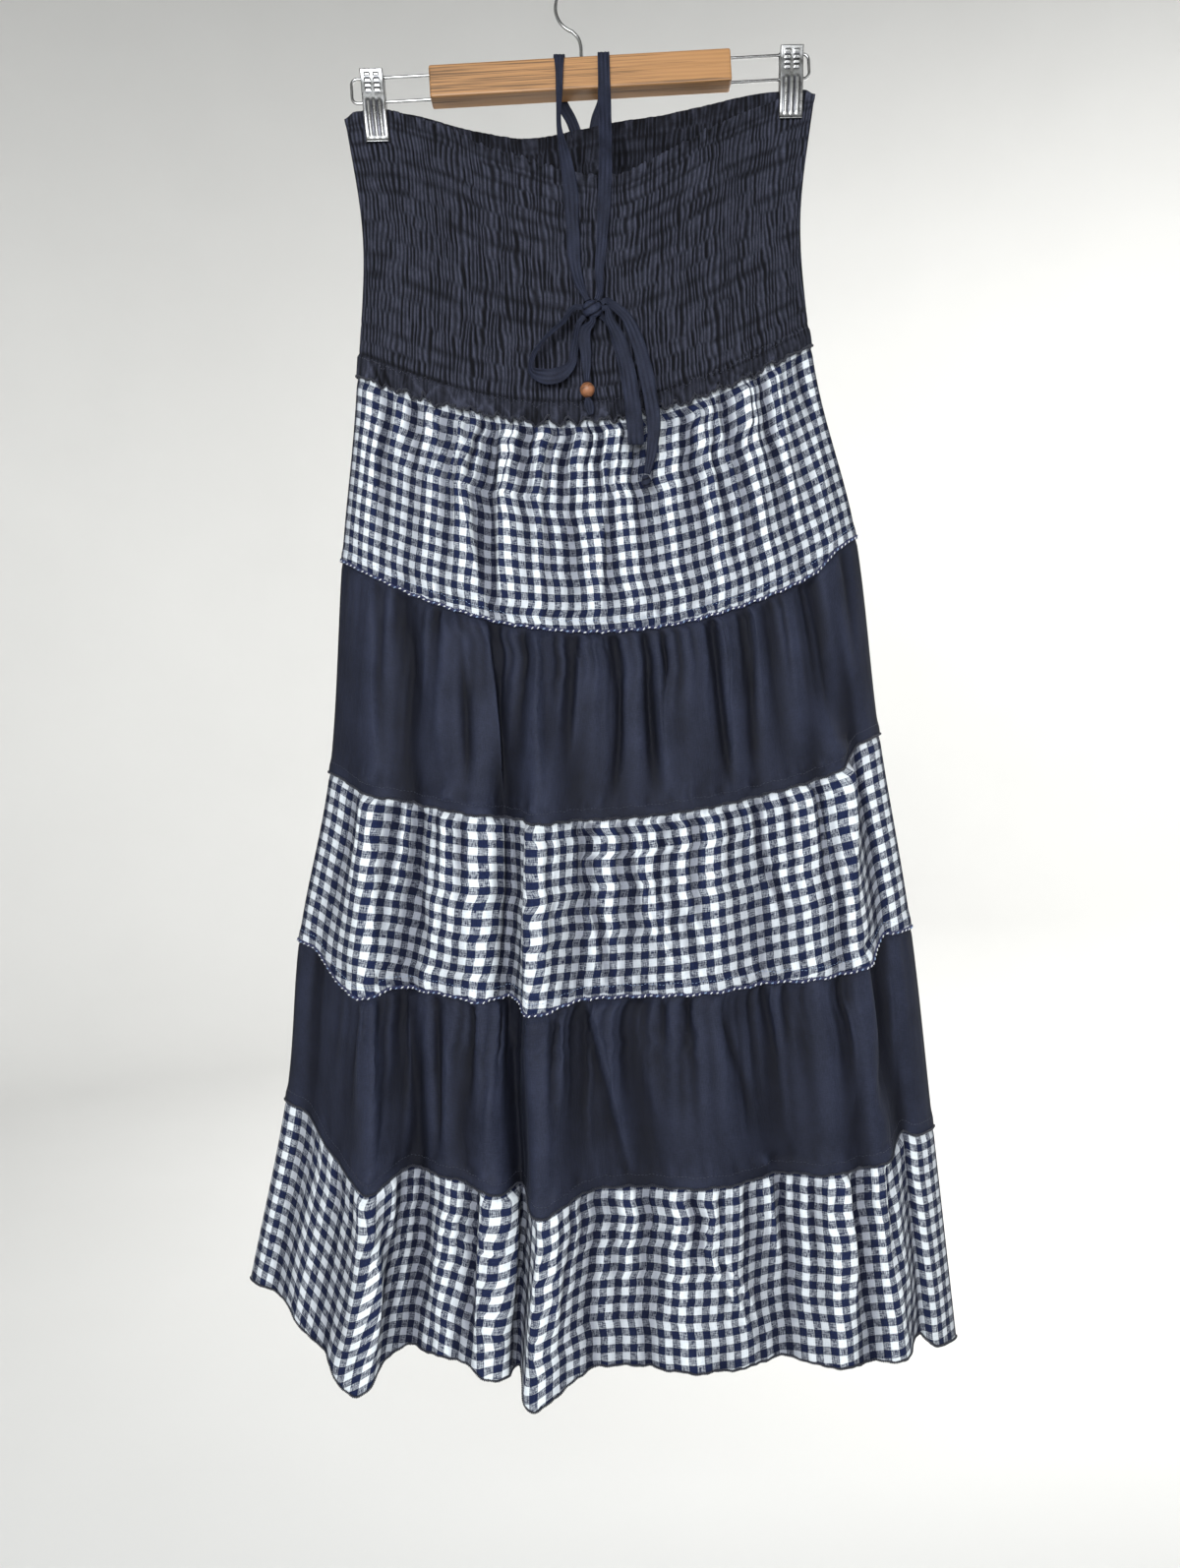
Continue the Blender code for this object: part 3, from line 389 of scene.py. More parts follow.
LOOP_LEFT = (
    Stop(-20, -52, -312, 7.5, -0.45, 0.75, 0.5),
    Stop(-35, -53, -326, 7.5, -0.5, 0.8, 0.4),
    Stop(-45, -53.5, -341, 7.5, -0.55, 0.8, 0.2),
    Stop(-46, -53.5, -351, 8, -0.6, 0.75, -0.3),
    Stop(-36, -52.5, -356, 12, -0.1, 0.2, -1),
    Stop(-24, -52, -355, 12, 0.1, 0.1, -1),
    Stop(-14, -50.2, -347, 8, 0.8, 0, -0.6),
    Stop(-10, -48, -330, 7, 1, 0, -0.2),
)
LOOP_RIGHT = (
    Stop(19, -50.3, -309, 7, 0.8, 0, 0.7),
    Stop(25, -51.7, -322, 9, 0.9, 0, 0.5),
    Stop(32, -53, -345, 11, 1, 0, 0.3),
    Stop(36, -55, -375, 12, 1, 0, 0.1),
    Stop(38, -57.6, -400, 13, 1, 0, 0),
    Stop(38, -58.3, -411, 13, 1, 0, 0),
    Stop(38.2, -56.3, -414, 13, 1, 0, 0),
    Stop(38.4, -54.3, -411, 13, 1, 0, 0),
    Stop(37, -52.8, -396, 12, 1, 0, 0),
    Stop(33, -51, -365, 10, 1, 0, 0.1),
    Stop(25, -48.2, -330, 8, 1, 0, 0.4),
)
TAIL_LEFT = (
    Stop(-1, -51, -318, 9, 1, 0.1, 0),
    Stop(-1, -51.5, -340, 9, 1, 0, 0),
    Stop(-1, -52, -361.3, 4, 1, 0, 0),
)
BEAD_MIDDLE = (-0.5, -52.0, -367.6)
BEAD_SIZE = 12.0
BEAD_BORE = 3.4
TAIL_LEFT_END = (
    Stop(-0.5, -52, -374.0, 3, 1, 0, 0),
    Stop(0, -52, -377, 7, 1, 0.2, 0),
    Stop(1, -52, -383, 8, 1, 0.3, 0),
    Stop(2, -52, -388, 4, 1, 0, 0),
)
TAIL_RIGHT = (
    Stop(22, -52, -299, 7, 0.3, 0, 1),
    Stop(33, -55.5, -311, 9, 0.7, 0, 0.7),
    Stop(41, -56, -330, 11, 1, 0, 0.8),
    Stop(49, -56.5, -365, 12, 1, 0, 0.2),
    Stop(53, -57.5, -400, 11, 1, 0, 0),
    Stop(51, -58, -420, 9, 1, 0, 0),
    Stop(47, -58, -439.1, 5, 1, 0, 0),
)
TAIL_RIGHT_KNOT = (46.0, -58.0, -445.0)
TAIL_KNOT_SIZE = (8.0, 6.0, 11.0)
KnotEnd = namedtuple("KnotEnd", "turn out wide way")
KNOT_ENDS = {
    "tie_left": KnotEnd(-28, 0, 5, 1),
    "tie_right": KnotEnd(28, 0, 5, 1),
    "loop_left_out": KnotEnd(-85, 15, 4.5, 1),
    "loop_left_back": KnotEnd(-130, -10, 4.5, -1),
    "loop_right_out": KnotEnd(95, 20, 4.5, -1),
    "loop_right_back": KnotEnd(125, -10, 4.5, -1),
    "tail_left": KnotEnd(180, 15, 5, -1),
    "tail_right": KnotEnd(60, 10, 4.5, -1),
}
KNOT_TURNS = 3.0
KNOT_CLEAR = 0.5
KNOT_LEAD = 4.0

# A row of stitches: how far it lies above the lower edge and out from the cloth, the distance from one to
# the next, each one's length, width and height, its slant in degrees and the tones that repeat along the row
Sewing = namedtuple("Sewing", "above out pitch size slant tones")
EDGING = Sewing(0.5, 0.5, 1.4, (2.8, 1.5, 1.3), 68.0, (0.05, 0.25, 0.15))
THICK_EDGING = EDGING._replace(size=(4.0, 1.5, 1.3))
PICOTS = Sewing(0.2, 1.35, 5.0, (2.9, 1.2, 1.0), 34.0, (0.9, 0.9, 0.55, 0.9))
TOPSTITCH = Sewing(9.5, 0.05, 3.0, (2.2, 0.45, 0.4), 0.0, (0.4,))
BODICE_TOPSTITCH_ABOVE = 17.0
ROW_INSET = 1.5

# Each lamp's place and target in metres, its width, its power in watts and its colour
Lamp = namedtuple("Lamp", "place target size power colour")
LAMPS = {
    "window": Lamp((-0.4, -2.1, -0.15), (0.0, 0.0, -0.68), 1.5, 57.0, (0.95, 0.98, 1.0)),
    "room": Lamp((1.7, -1.5, -0.3), (0.0, 0.0, -0.65), 1.6, 8.0, (0.96, 0.98, 1.0)),
    "behind": Lamp((0.9, 2.2, 0.3), (0.0, 0.0, -0.65), 1.8, 24.0, (1.0, 1.0, 1.0)),
    "wall": Lamp((1.0, 0.6, 0.5), (0.3, 3.2, -0.6), 2.4, 84.0, (1.0, 0.99, 0.97)),
}
SKY = (0.95, 0.97, 1.0, 1.0)
SKY_STRENGTH = 0.12

# Finishes: the scales of noise are in repeats a metre, and the heights of bumps in metres
YARN_SCALE = 1900.0
SLUB_LENGTH = 0.10
STRIPE_SOFTNESS = 0.018
GINGHAM_WANDER = (0.0008, 0.0008, 0.0)
# Painted shade: the share of its colour that cloth keeps in the hollows between folds, and how much more blue
# it keeps there
GINGHAM_HOLLOW_SHADE = 0.28
NAVY_HOLLOW_SHADE = 0.16
HOLLOW_SHADE_BLUE = 0.035
# How much more a dark yarn shows where it crosses a light one, because it is thicker
DARK_YARN_EXTRA = 0.25
WASHED_NAVY = (0.016, 0.026, 0.075)
AGED_WHITE = (0.63, 0.68, 0.73)
DEEP_NAVY_SHARE = 0.72
LIGHT_NAVY_SHARE = 1.55
# Painted shade: the share of the bodice colour left in its rib valleys
VALLEY_SHADE_SHARE = 0.05
PALE_WOOD_SHARE = 1.18
WOOD_LINE_SHARE = 0.40
DULL_METAL_SHARE = 0.72
PRESSED_BRIGHT = (0.52, 0.52, 0.51)
TARNISH = (0.07, 0.07, 0.08)
PAPER = ((0.60, 0.60, 0.59), (0.63, 0.63, 0.62))
# Each thread's dark, light and bright colour
PICOT_THREAD = ((0.012, 0.018, 0.08), (0.30, 0.42, 0.62), (0.82, 0.84, 0.86))
NAVY_THREAD = ((0.008, 0.010, 0.022), (0.018, 0.022, 0.045), (0.05, 0.055, 0.09))

# Each finished panel's grid of points and outward vectors, for the trim that is sewn on it
panels = {}


class ClothSettings(PropertyGroup):
    """Sizes and colours of the cloth and its trim"""

    thickness: FloatProperty(
        name="Cloth thickness",
        description="Thickness of the cotton",
        default=0.0005,
        min=0.0002,
        unit="LENGTH",
    )
    rib_rise: FloatProperty(
        name="Rib rise",
        description="How far the shirred ribs stand up between the elastic rows",
        default=0.0022,
        unit="LENGTH",
    )
    check_repeat: FloatProperty(
        name="Check repeat",
        description="One dark and one light stripe of the gingham",
        default=0.0127,
        unit="LENGTH",
    )
    stitch_pitch: FloatProperty(
        name="Stitch pitch",
        description="From one topstitch to the next",
        default=0.0030,
        unit="LENGTH",
    )
    shirred_navy: FloatVectorProperty(
        name="Shirred navy",
        description="Colour of the bodice",
        subtype="COLOR",
        default=(0.054, 0.058, 0.086),
    )
    plain_navy: FloatVectorProperty(
        name="Plain navy",
        description="Colour of the plain tiers",
        subtype="COLOR",
        default=(0.0168, 0.0200, 0.0365),
    )
    check_navy: FloatVectorProperty(
        name="Check navy",
        description="Dark yarn of the gingham",
        subtype="COLOR",
        default=(0.007, 0.011, 0.038),
    )
    check_white: FloatVectorProperty(
        name="Check white",
        description="Light yarn of the gingham",
        subtype="COLOR",
        default=(0.80, 0.84, 0.87),
    )


class HangerSettings(PropertyGroup):
    """Colours of the hanger, its clips and the bead"""

    wood: FloatVectorProperty(
        name="Wood",
        description="Lit colour of the bar",
        subtype="COLOR",
        default=(0.345, 0.174, 0.066),
    )
    metal: FloatVectorProperty(
        name="Metal",
        description="Colour of the wires and clips",
        subtype="COLOR",
        default=(0.50, 0.50, 0.50),
    )
    bead: FloatVectorProperty(
        name="Bead wood",
        description="Colour of the bead",
        subtype="COLOR",
        default=(0.26, 0.105, 0.045),
    )


def smoothstep(value, low, high):
    share = np.clip((value - low) / (high - low), 0.0, 1.0)
    return share * share * (3.0 - 2.0 * share)


def bell(values, middle, width):
    """1 at the middle, fading softly to 0 on both sides."""
    return np.exp(-(((values - middle) / width) ** 2))


def smooth_through(places, values, at):
    """A cubic through values given at places, read at the array at."""
    places = np.asarray(places, float)
    values = np.asarray(values, float)
    slopes = np.gradient(values, places)
    at = np.clip(at, places[0], places[-1])
    k = np.clip(np.searchsorted(places, at, side="right") - 1, 0, len(places) - 2)
    span = places[k + 1] - places[k]
    s = (at - places[k]) / span
    from_low = (1 + 2 * s) * (1 - s) ** 2 * values[k] + s * (1 - s) ** 2 * span * slopes[k]
    from_high = s * s * (3 - 2 * s) * values[k + 1] + s * s * (s - 1) * span * slopes[k + 1]
    return from_low + from_high


def level_value(name, t):
    places = [level.at for level in LEVELS]
    values = [getattr(level, name) for level in LEVELS]
    return smooth_through(places, values, t)


def clip_pinch(x, t):
    """1 where a clip presses the front and back together, 0 away from the clips."""
    pinch = 0.0
    for side in ("left", "right"):
        middle = CLIP_PLACE[side][0] + CLIP_TALL * 0.8 * math.sin(CLIP_TILT[side])
        pinch = pinch + 1.0 - smoothstep(np.abs(x - middle), CLIP_FLAT, CLIP_FADE)
    return pinch * (1.0 - smoothstep(t, GRIP_ENDS, GRIP_FADES))


def down_the_skirt(top, hem, t):
    return top + (hem - top) * (t - FIRST_FOLD_LEVEL) / (HEM_LEVEL - FIRST_FOLD_LEVEL)


def tuck(side, u, t):
    place = down_the_skirt(*TUCK_PLACES[side], t)
    inwards = -1.0 if side == "right" else 1.0
    inside = 1.0 / (1.0 + np.exp(-inwards * (u - place) / TUCK_SOFTNESS))
    return inside * level_value(side + "_tuck", t)


def top_sag(side, u):
    """How deep the top edge sags at u, as a share of its sag in the middle."""
    places = [edge.place for edge in TOP_EDGES]
    sags = [getattr(edge, side) for edge in TOP_EDGES]
    return smooth_through(places, sags, u)


def panel_point(side, u, t):
    """The middle form of one side of the dress; u is -1 at the left seam and 1 at the right one."""
    front = side == "front"
    facing = -1.0 if front else 1.0
    left = level_value("left", t)
    right = level_value("right", t)
    x = (left + right) / 2 + (right - left) / 2 * u
    lens = np.maximum(1.0 - np.abs(u) ** LENS_POWER, 0.0) ** LENS_ROUND
    depth = level_value(side + "_depth", t) * lens
    edges = level_value("left_z", t) * (1 - u) / 2 + level_value("right_z", t) * (1 + u) / 2
    middle_of_edges = (level_value("left_z", t) + level_value("right_z", t)) / 2
    sag = level_value(side + "_z", t) - middle_of_edges
    round_sag = 1.0 - u * u
    low = smoothstep(t, 0.0, 1.0)
    if front:
        tucked = tuck("left", u, t) * (1 - u) / 2 + tuck("right", u, t) * (1 + u) / 2
        rest_of_sag = sag + (level_value("left_tuck", t) + level_value("right_tuck", t)) / 2
        z = edges - tucked + rest_of_sag * (low * round_sag + (1 - low) * top_sag(side, u))
    else:
        z = edges + sag * (low * (1.0 - u**4) + (1 - low) * top_sag(side, u))
    away_from_seams = 1.0 - u**8
    for fold in FRONT_FOLDS if front else BACK_FOLDS:
        grown = smoothstep(t, fold.starts, fold.full) * (0.75 + 0.25 * smoothstep(t, 3.0, 6.0))
        place = down_the_skirt(fold.top, fold.hem, t)
        crest = bell(u, place, fold.width) * grown * away_from_seams
        depth = depth + fold.depth * crest
        x = x + fold.lean * abs(fold.depth) * crest
        z = z - fold.drop * crest * np.clip(down_the_skirt(0.0, 1.0, t), 0.0, 1.0)
    depth = depth * (1.0 - clip_pinch(x, t)) + SEAM_GAP / 2
    return np.stack([x, facing * depth, z], axis=-1)


def run_along(points):
    """How far each point of a line, or of a grid's columns, lies from the first one."""
    steps = np.linalg.norm(np.diff(points, axis=0, prepend=points[:1]), axis=-1)
    return np.cumsum(steps, axis=0)


def outwards(side, points):
    """Level unit vectors out of the dress at a grid of points, straight sideways at the side seams."""
    runs = np.diff(points[..., :2], axis=1)
    runs /= np.maximum(np.linalg.norm(runs, axis=-1, keepdims=True), 1e-9)
    along = np.zeros_like(points)
    along[:, 1:-1, :2] = runs[:, :-1] + runs[:, 1:]
    facing = 1.0 if side == "front" else -1.0
    out = np.stack([facing * along[..., 1], -facing * along[..., 0], np.zeros_like(along[..., 0])], axis=-1)
    out[:, 0] = (-1.0, 0.0, 0.0)
    out[:, -1] = (1.0, 0.0, 0.0)
    return out / np.linalg.norm(out, axis=-1, keepdims=True)


def even_columns(side, t, count):
    """Shares u that split a panel's own line at t into even lengths, and the length of that line."""
    fine = np.linspace(-1.0, 1.0, 6001)
    runs = run_along(panel_point(side, fine, np.full_like(fine, t))[:, :2])
    return np.interp(np.linspace(0.0, runs[-1], count + 1), runs, fine), runs[-1]


def crowded(count, crowding):
    """Shares from 0 to 1, closer together near both ends."""
    even = np.linspace(0.0, 1.0, count + 1)
    return even - crowding * np.sin(2 * math.pi * even) / (2 * math.pi)


def smooth_data(name, mesh):
    """Mesh data taken from a bmesh, shaded smooth."""
    data = bpy.data.meshes.new(name)
    mesh.to_mesh(data)
    mesh.free()
    data.shade_smooth()
    return data


def point_values(data, key, values):
    attribute = data.attributes.new(key, "FLOAT", "POINT")
    attribute.data.foreach_set("value", np.asarray(values, np.float32).ravel())


def add_object(name, data, finish):
    data.materials.append(finish)
    thing = bpy.data.objects.new(name, data)
    bpy.context.scene.collection.objects.link(thing)
    return thing


def settle(thing, node_name):
    """Rides a finished piece on the one body, in the place of its plain solid."""
    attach(thing, "root")
    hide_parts(node_name)


def cloth_object(name, points, cloth_uv, finish, thickness, crest, flipped=False, offset=-1.0):
    """A sheet of cloth through a grid of points in millimetres, mapped in metres along the cloth."""
    rows, across = points.shape[:2]
    mesh = bmesh.new()
    bmesh.ops.create_grid(mesh, x_segments=across - 1, y_segments=rows - 1, size=1.0)
    flat_points = points.reshape(-1, 3) * MM
    for vert, place in zip(mesh.verts, flat_points):
        vert.co = place
    if flipped:
        bmesh.ops.reverse_faces(mesh, faces=mesh.faces[:])
    data = smooth_data(name, mesh)
    corners = np.empty(len(data.loops), np.int64)
    data.loops.foreach_get("vertex_index", corners)
    layer = data.uv_layers.new(name="cloth")
    layer.data.foreach_set("uv", cloth_uv.reshape(-1, 2)[corners].astype(np.float32).ravel())
    point_values(data, "crest", crest)
    thing = add_object(name, data, finish)
    wall = thing.modifiers.new("Wall", "SOLIDIFY")
    wall.thickness = thickness
    wall.offset = offset
    wall.use_even_offset = False
    return thing


def plain_object(name, mesh, finish, smooth_angle):
    """An object from a bmesh whose points are already in place."""
    bmesh.ops.recalc_face_normals(mesh, faces=mesh.faces[:])
    data = smooth_data(name, mesh)
    data.set_sharp_from_angle(angle=math.radians(smooth_angle))
    return add_object(name, data, finish)


def repeated_object(name, template, places, turns, sizes, tones, finish):
    """One joined mesh with the template at every place, turned by 3 by 3 turns and scaled by sizes."""
    shape = np.array([vert.co[:] for vert in template.verts])
    faces = np.array([[vert.index for vert in face.verts] for face in template.faces])
    template.free()
    moved = np.einsum("nij,nvj->nvi", turns, shape[None] * sizes[:, None, :]) + places[:, None, :]
    starts = np.arange(len(places))[:, None, None] * len(shape)
    corners = (faces[None] + starts).reshape(-1, faces.shape[1])
    data = bpy.data.meshes.new(name)
    data.from_pydata((moved.reshape(-1, 3) * MM).tolist(), [], corners.tolist())
    data.shade_smooth()
    point_values(data, "tone", np.repeat(tones, len(shape)))
    return add_object(name, data, finish)


def turned(profile, steps, merge, closed=False):
    """A profile of radii and heights turned all the way round Z."""
    mesh = bmesh.new()
    verts = [mesh.verts.new((radius, 0.0, height)) for radius, height in profile]
    followers = verts[1:] + (verts[:1] if closed else [])
    edges = [mesh.edges.new(pair) for pair in zip(verts, followers)]
    bmesh.ops.spin(
        mesh,
        geom=verts + edges,
        cent=(0.0, 0.0, 0.0),
        axis=(0.0, 0.0, 1.0),
        angle=2 * math.pi,
        steps=steps,
        use_merge=True,
    )
    bmesh.ops.remove_doubles(mesh, verts=mesh.verts[:], dist=merge)
    return mesh


def node(tree, kind, inputs=None, **settings):
    """Adds a node. An input is given a value or another node's output."""
    made = tree.nodes.new("ShaderNode" + kind)
    for name, value in settings.items():
        setattr(made, name, value)
    for name, value in (inputs or {}).items():
        if isinstance(value, bpy.types.NodeSocket):
            tree.links.new(value, made.inputs[name])
        else:
            made.inputs[name].default_value = value
    return made


def maths(tree, operation, first, second=0.0, third=0.0):
    return node(tree, "Math", {0: first, 1: second, 2: third}, operation=operation).outputs[0]


def mix(tree, share, low, high):
    """A colour between low and high."""
    inputs = {0: share}
    for place, colour in ((6, low), (7, high)):
        inputs[place] = colour if isinstance(colour, bpy.types.NodeSocket) else (*colour, 1.0)
    return node(tree, "Mix", inputs, data_type="RGBA").outputs[2]


def darkened(tree, colour, share):
    """A colour multiplied by a share or by another colour."""
    inputs = {0: 1.0, 6: colour, 7: share}
    return node(tree, "Mix", inputs, data_type="RGBA", blend_type="MULTIPLY").outputs[2]


def attribute(tree, name):
    return node(tree, "Attribute", attribute_name=name).outputs["Fac"]


def object_place(tree):
    return node(tree, "TexCoord").outputs["Object"]


def scaled(tree, vector, scale):
    return node(tree, "Mapping", {"Vector": vector, "Scale": scale}).outputs[0]


def noise(tree, vector, scale, detail=2.0, rough=0.5):
    made = node(tree, "TexNoise", {"Vector": vector, "Scale": scale, "Detail": detail, "Roughness": rough})
    return made.outputs[0]


def ramp(tree, value, low, high, to_low=0.0, to_high=1.0):
    inputs = {"Value": value, "From Min": low, "From Max": high, "To Min": to_low, "To Max": to_high}
    return node(tree, "MapRange", inputs, interpolation_type="SMOOTHSTEP").outputs[0]


def new_finish(name, roughness, **shader_values):
    """A material with its shader's fixed values set, and its node tree."""
    look = bpy.data.materials.get(name)
    if look:
        return look, None, None
    look = bpy.data.materials.new(name)
    look.use_nodes = True
    shader = look.node_tree.nodes["Principled BSDF"]
    shader.inputs["Roughness"].default_value = roughness
    for key, value in shader_values.items():
        shader.inputs[key.replace("_", " ")].default_value = value
    return look, look.node_tree, shader


def cloth_map(tree):
    return node(tree, "UVMap", uv_map="cloth").outputs[0]


def raise_surface(tree, shader, height, distance, strength=1.0):
    bump = node(tree, "Bump", {"Height": height, "Distance": distance, "Strength": strength})
    tree.links.new(bump.outputs[0], shader.inputs["Normal"])


def threads(tree, flat):
    """Slubby yarns running down and across the cloth, and their mean, each from 0 to 1."""
    down = noise(tree, scaled(tree, flat, (1.0, SLUB_LENGTH, 1.0)), YARN_SCALE)
    across = noise(tree, scaled(tree, flat, (SLUB_LENGTH, 1.0, 1.0)), YARN_SCALE)
    return down, across, maths(tree, "MULTIPLY", maths(tree, "ADD", down, across), 0.5)


def shade_in_hollows(tree, colour, least):
    """The colour with painted shade: full on the folds' crests, and darker and a little bluer deeper down in
    the hollows between them.
    """
    crest = attribute(tree, "crest")
    share = ramp(tree, crest, 0.0, 1.0, least, 1.0)
    bluer = ramp(tree, crest, 0.0, 1.0, least + HOLLOW_SHADE_BLUE, 1.0)
    grey = node(tree, "CombineColor", {0: share, 1: share, 2: bluer}).outputs[0]
    return darkened(tree, colour, grey)


def stripe(tree, place, repeat):
    """1 in the dark half of a repeat and 0 in the light half, with a soft edge."""
    swing = maths(tree, "PINGPONG", maths(tree, "MULTIPLY", place, 1.0 / repeat), 0.5)
    return ramp(tree, swing, 0.25 - STRIPE_SOFTNESS, 0.25 + STRIPE_SOFTNESS)


def gingham_finish(settings):
    """Woven checks that wander a little, paler and darker by the yarn, over washed crinkles."""
    look, tree, shader = new_finish("gingham_cotton", 0.82, Specular_IOR_Level=0.12, Sheen_Weight=0.02)
    if tree is None:
        return look
    flat = cloth_map(tree)
    wander = node(tree, "TexNoise", {"Vector": flat, "Scale": 45.0, "Detail": 2.0}).outputs["Color"]
    shift = node(tree, "VectorMath", {0: wander, 1: (0.5, 0.5, 0.5)}, operation="SUBTRACT").outputs[0]
    inputs = {0: shift, 1: GINGHAM_WANDER, 2: flat}
    moved = node(tree, "VectorMath", inputs, operation="MULTIPLY_ADD").outputs[0]
    parts = node(tree, "SeparateXYZ", {0: moved})
    warp = stripe(tree, parts.outputs["X"], settings.check_repeat)
    weft = stripe(tree, parts.outputs["Y"], settings.check_repeat)
    down, across, yarns = threads(tree, flat)
    on_top = ramp(tree, maths(tree, "SUBTRACT", down, across), -0.45, 0.45)
    difference = maths(tree, "SUBTRACT", warp, weft)
    woven = maths(tree, "MULTIPLY_ADD", difference, on_top, weft)
    crossing = maths(tree, "ABSOLUTE", difference)
    dark = maths(tree, "MULTIPLY_ADD", crossing, DARK_YARN_EXTRA, woven)
    dark = maths(tree, "MINIMUM", dark, 1.0)
    washed = mix(tree, ramp(tree, yarns, 0.35, 0.75), settings.check_navy, WASHED_NAVY)
    aged = mix(tree, ramp(tree, yarns, 0.30, 0.60), AGED_WHITE, settings.check_white)
    # Painted shade: the colour is darkened in the hollows between folds, by the crest attribute
    colour = shade_in_hollows(tree, mix(tree, dark, aged, washed), GINGHAM_HOLLOW_SHADE)
    tree.links.new(colour, shader.inputs["Base Color"])
    crinkle = noise(tree, scaled(tree, flat, (1.0, 0.20, 1.0)), 110.0, 3.0, 0.6)
    raise_surface(tree, shader, maths(tree, "MULTIPLY_ADD", crinkle, 3.0, yarns), 0.00022, 0.7)
    return look


def navy_finish(settings):
    """Plain navy cotton, faded a little in patches, over washed crinkles."""
    look, tree, shader = new_finish(
        "plain_navy_cotton",
        0.70,
        Specular_IOR_Level=0.15,
        Sheen_Weight=0.03,
        Sheen_Roughness=0.38,
        Sheen_Tint=(0.55, 0.62, 0.85, 1.0),
    )
    if tree is None:
        return look
    flat = cloth_map(tree)
    yarns = threads(tree, flat)[2]
    worn = noise(tree, flat, 22.0, 4.0, 0.6)
    deep = tuple(DEEP_NAVY_SHARE * part for part in settings.plain_navy)
    light = tuple(LIGHT_NAVY_SHARE * part for part in settings.plain_navy)
    both = maths(tree, "MULTIPLY_ADD", worn, 0.4, maths(tree, "MULTIPLY", yarns, 0.6))
    body = mix(tree, ramp(tree, both, 0.36, 0.64), deep, light)
    # Painted shade: the colour is darkened in the hollows between folds and in the grooves of the ties and
    # knots, by the crest attribute
    tree.links.new(shade_in_hollows(tree, body, NAVY_HOLLOW_SHADE), shader.inputs["Base Color"])
    tree.links.new(ramp(tree, yarns, 0.3, 0.7, 0.62, 0.80), shader.inputs["Roughness"])
    crinkle = noise(tree, scaled(tree, flat, (1.0, 0.20, 1.0)), 120.0, 4.0, 0.6)
    raise_surface(tree, shader, maths(tree, "MULTIPLY_ADD", crinkle, 6.0, yarns), 0.00018, 0.9)
    return look


def shirred_finish(settings):
    """Navy cotton with painted shade: almost black in the rib valleys and full colour on the rib crests,
    darker in patches.
    """
    look, tree, shader = new_finish(
        "shirred_navy_cotton",
        0.85,
        Specular_IOR_Level=0.12,
        Sheen_Weight=0.03,
        Sheen_Roughness=0.45,
        Sheen_Tint=(0.6, 0.65, 0.8, 1.0),
    )
    if tree is None:
        return look
    flat = cloth_map(tree)
    yarns = threads(tree, flat)[2]
    rubbing = noise(tree, flat, 160.0, 3.0, 0.6)
    worn = maths(tree, "MULTIPLY_ADD", rubbing, 0.5, maths(tree, "MULTIPLY", yarns, 0.5))
    # Painted light and shade: the crest attribute gives the rib crests the full colour and the valleys the
    # almost black one, and the noise darkens the crests in patches
    on_top = maths(tree, "POWER", attribute(tree, "crest"), 2.1)
    crest_light_and_patches = maths(tree, "MULTIPLY", on_top, ramp(tree, worn, 0.30, 0.62, 0.40, 1.0))
    valley = tuple(VALLEY_SHADE_SHARE * part for part in settings.shirred_navy)
    colour = mix(tree, crest_light_and_patches, valley, settings.shirred_navy)
    tree.links.new(colour, shader.inputs["Base Color"])
    crinkle = noise(tree, scaled(tree, flat, (1.0, 0.35, 1.0)), 520.0, 3.0)
    height = maths(tree, "MULTIPLY_ADD", crinkle, 0.7, maths(tree, "MULTIPLY", yarns, 0.3))
    raise_surface(tree, shader, height, 0.0006, 0.6)
    return look


def thread_finish(name, dark, light, bright):
    """Sewing thread whose colour follows each stitch's tone."""
    look, tree, shader = new_finish(name, 0.6, Sheen_Weight=0.15, Sheen_Roughness=0.4)
    if tree is None:
        return look
    tone = attribute(tree, "tone")
    lower = mix(tree, ramp(tree, tone, 0.30, 0.45), dark, light)
    colour = mix(tree, ramp(tree, tone, 0.65, 0.80), lower, bright)
    grain = noise(tree, object_place(tree), 2500.0)
    shade = ramp(tree, grain, 0.3, 0.7, 0.75, 1.0)
    tree.links.new(darkened(tree, colour, shade), shader.inputs["Base Color"])
    raise_surface(tree, shader, grain, 0.0001, 0.5)
    return look


def wood_finish(name, colour, across_scale, tilt):
    """Wood with its grain along X, turned with the bar."""
    look, tree, shader = new_finish(name, 0.46, Coat_Weight=0.10, Coat_Roughness=0.3)
    if tree is None:
        return look
    inputs = {"Vector": object_place(tree), "Rotation": (0.0, tilt, 0.0)}
    laid = node(tree, "Mapping", inputs).outputs[0]
    broad = noise(tree, scaled(tree, laid, (0.03, 1.0, 1.0)), across_scale, 3.0, 0.55)
    drawn = scaled(tree, laid, (0.10, 1.0, 1.0))
    inputs = {"Vector": drawn, "Scale": across_scale * 0.9, "Distortion": 5.0, "Detail": 3.0}
    rings = node(tree, "TexWave", inputs, bands_direction="Z").outputs["Fac"]
    fine = noise(tree, scaled(tree, laid, (0.010, 1.0, 1.0)), across_scale * 11.0, 2.0)
    pale = tuple(min(PALE_WOOD_SHARE * part, 1.0) for part in colour)
    brown = tuple(WOOD_LINE_SHARE * part for part in colour)
    grain = maths(tree, "MULTIPLY_ADD", rings, 0.35, maths(tree, "MULTIPLY", broad, 0.65))
    body = mix(tree, ramp(tree, grain, 0.28, 0.72), pale, colour)
    lines = mix(tree, ramp(tree, maths(tree, "MULTIPLY", fine, broad), 0.26, 0.35), body, brown)
    tree.links.new(lines, shader.inputs["Base Color"])
    tree.links.new(ramp(tree, fine, 0.3, 0.7, 0.38, 0.55), shader.inputs["Roughness"])
    raise_surface(tree, shader, fine, 0.00015, 0.5)
    return look


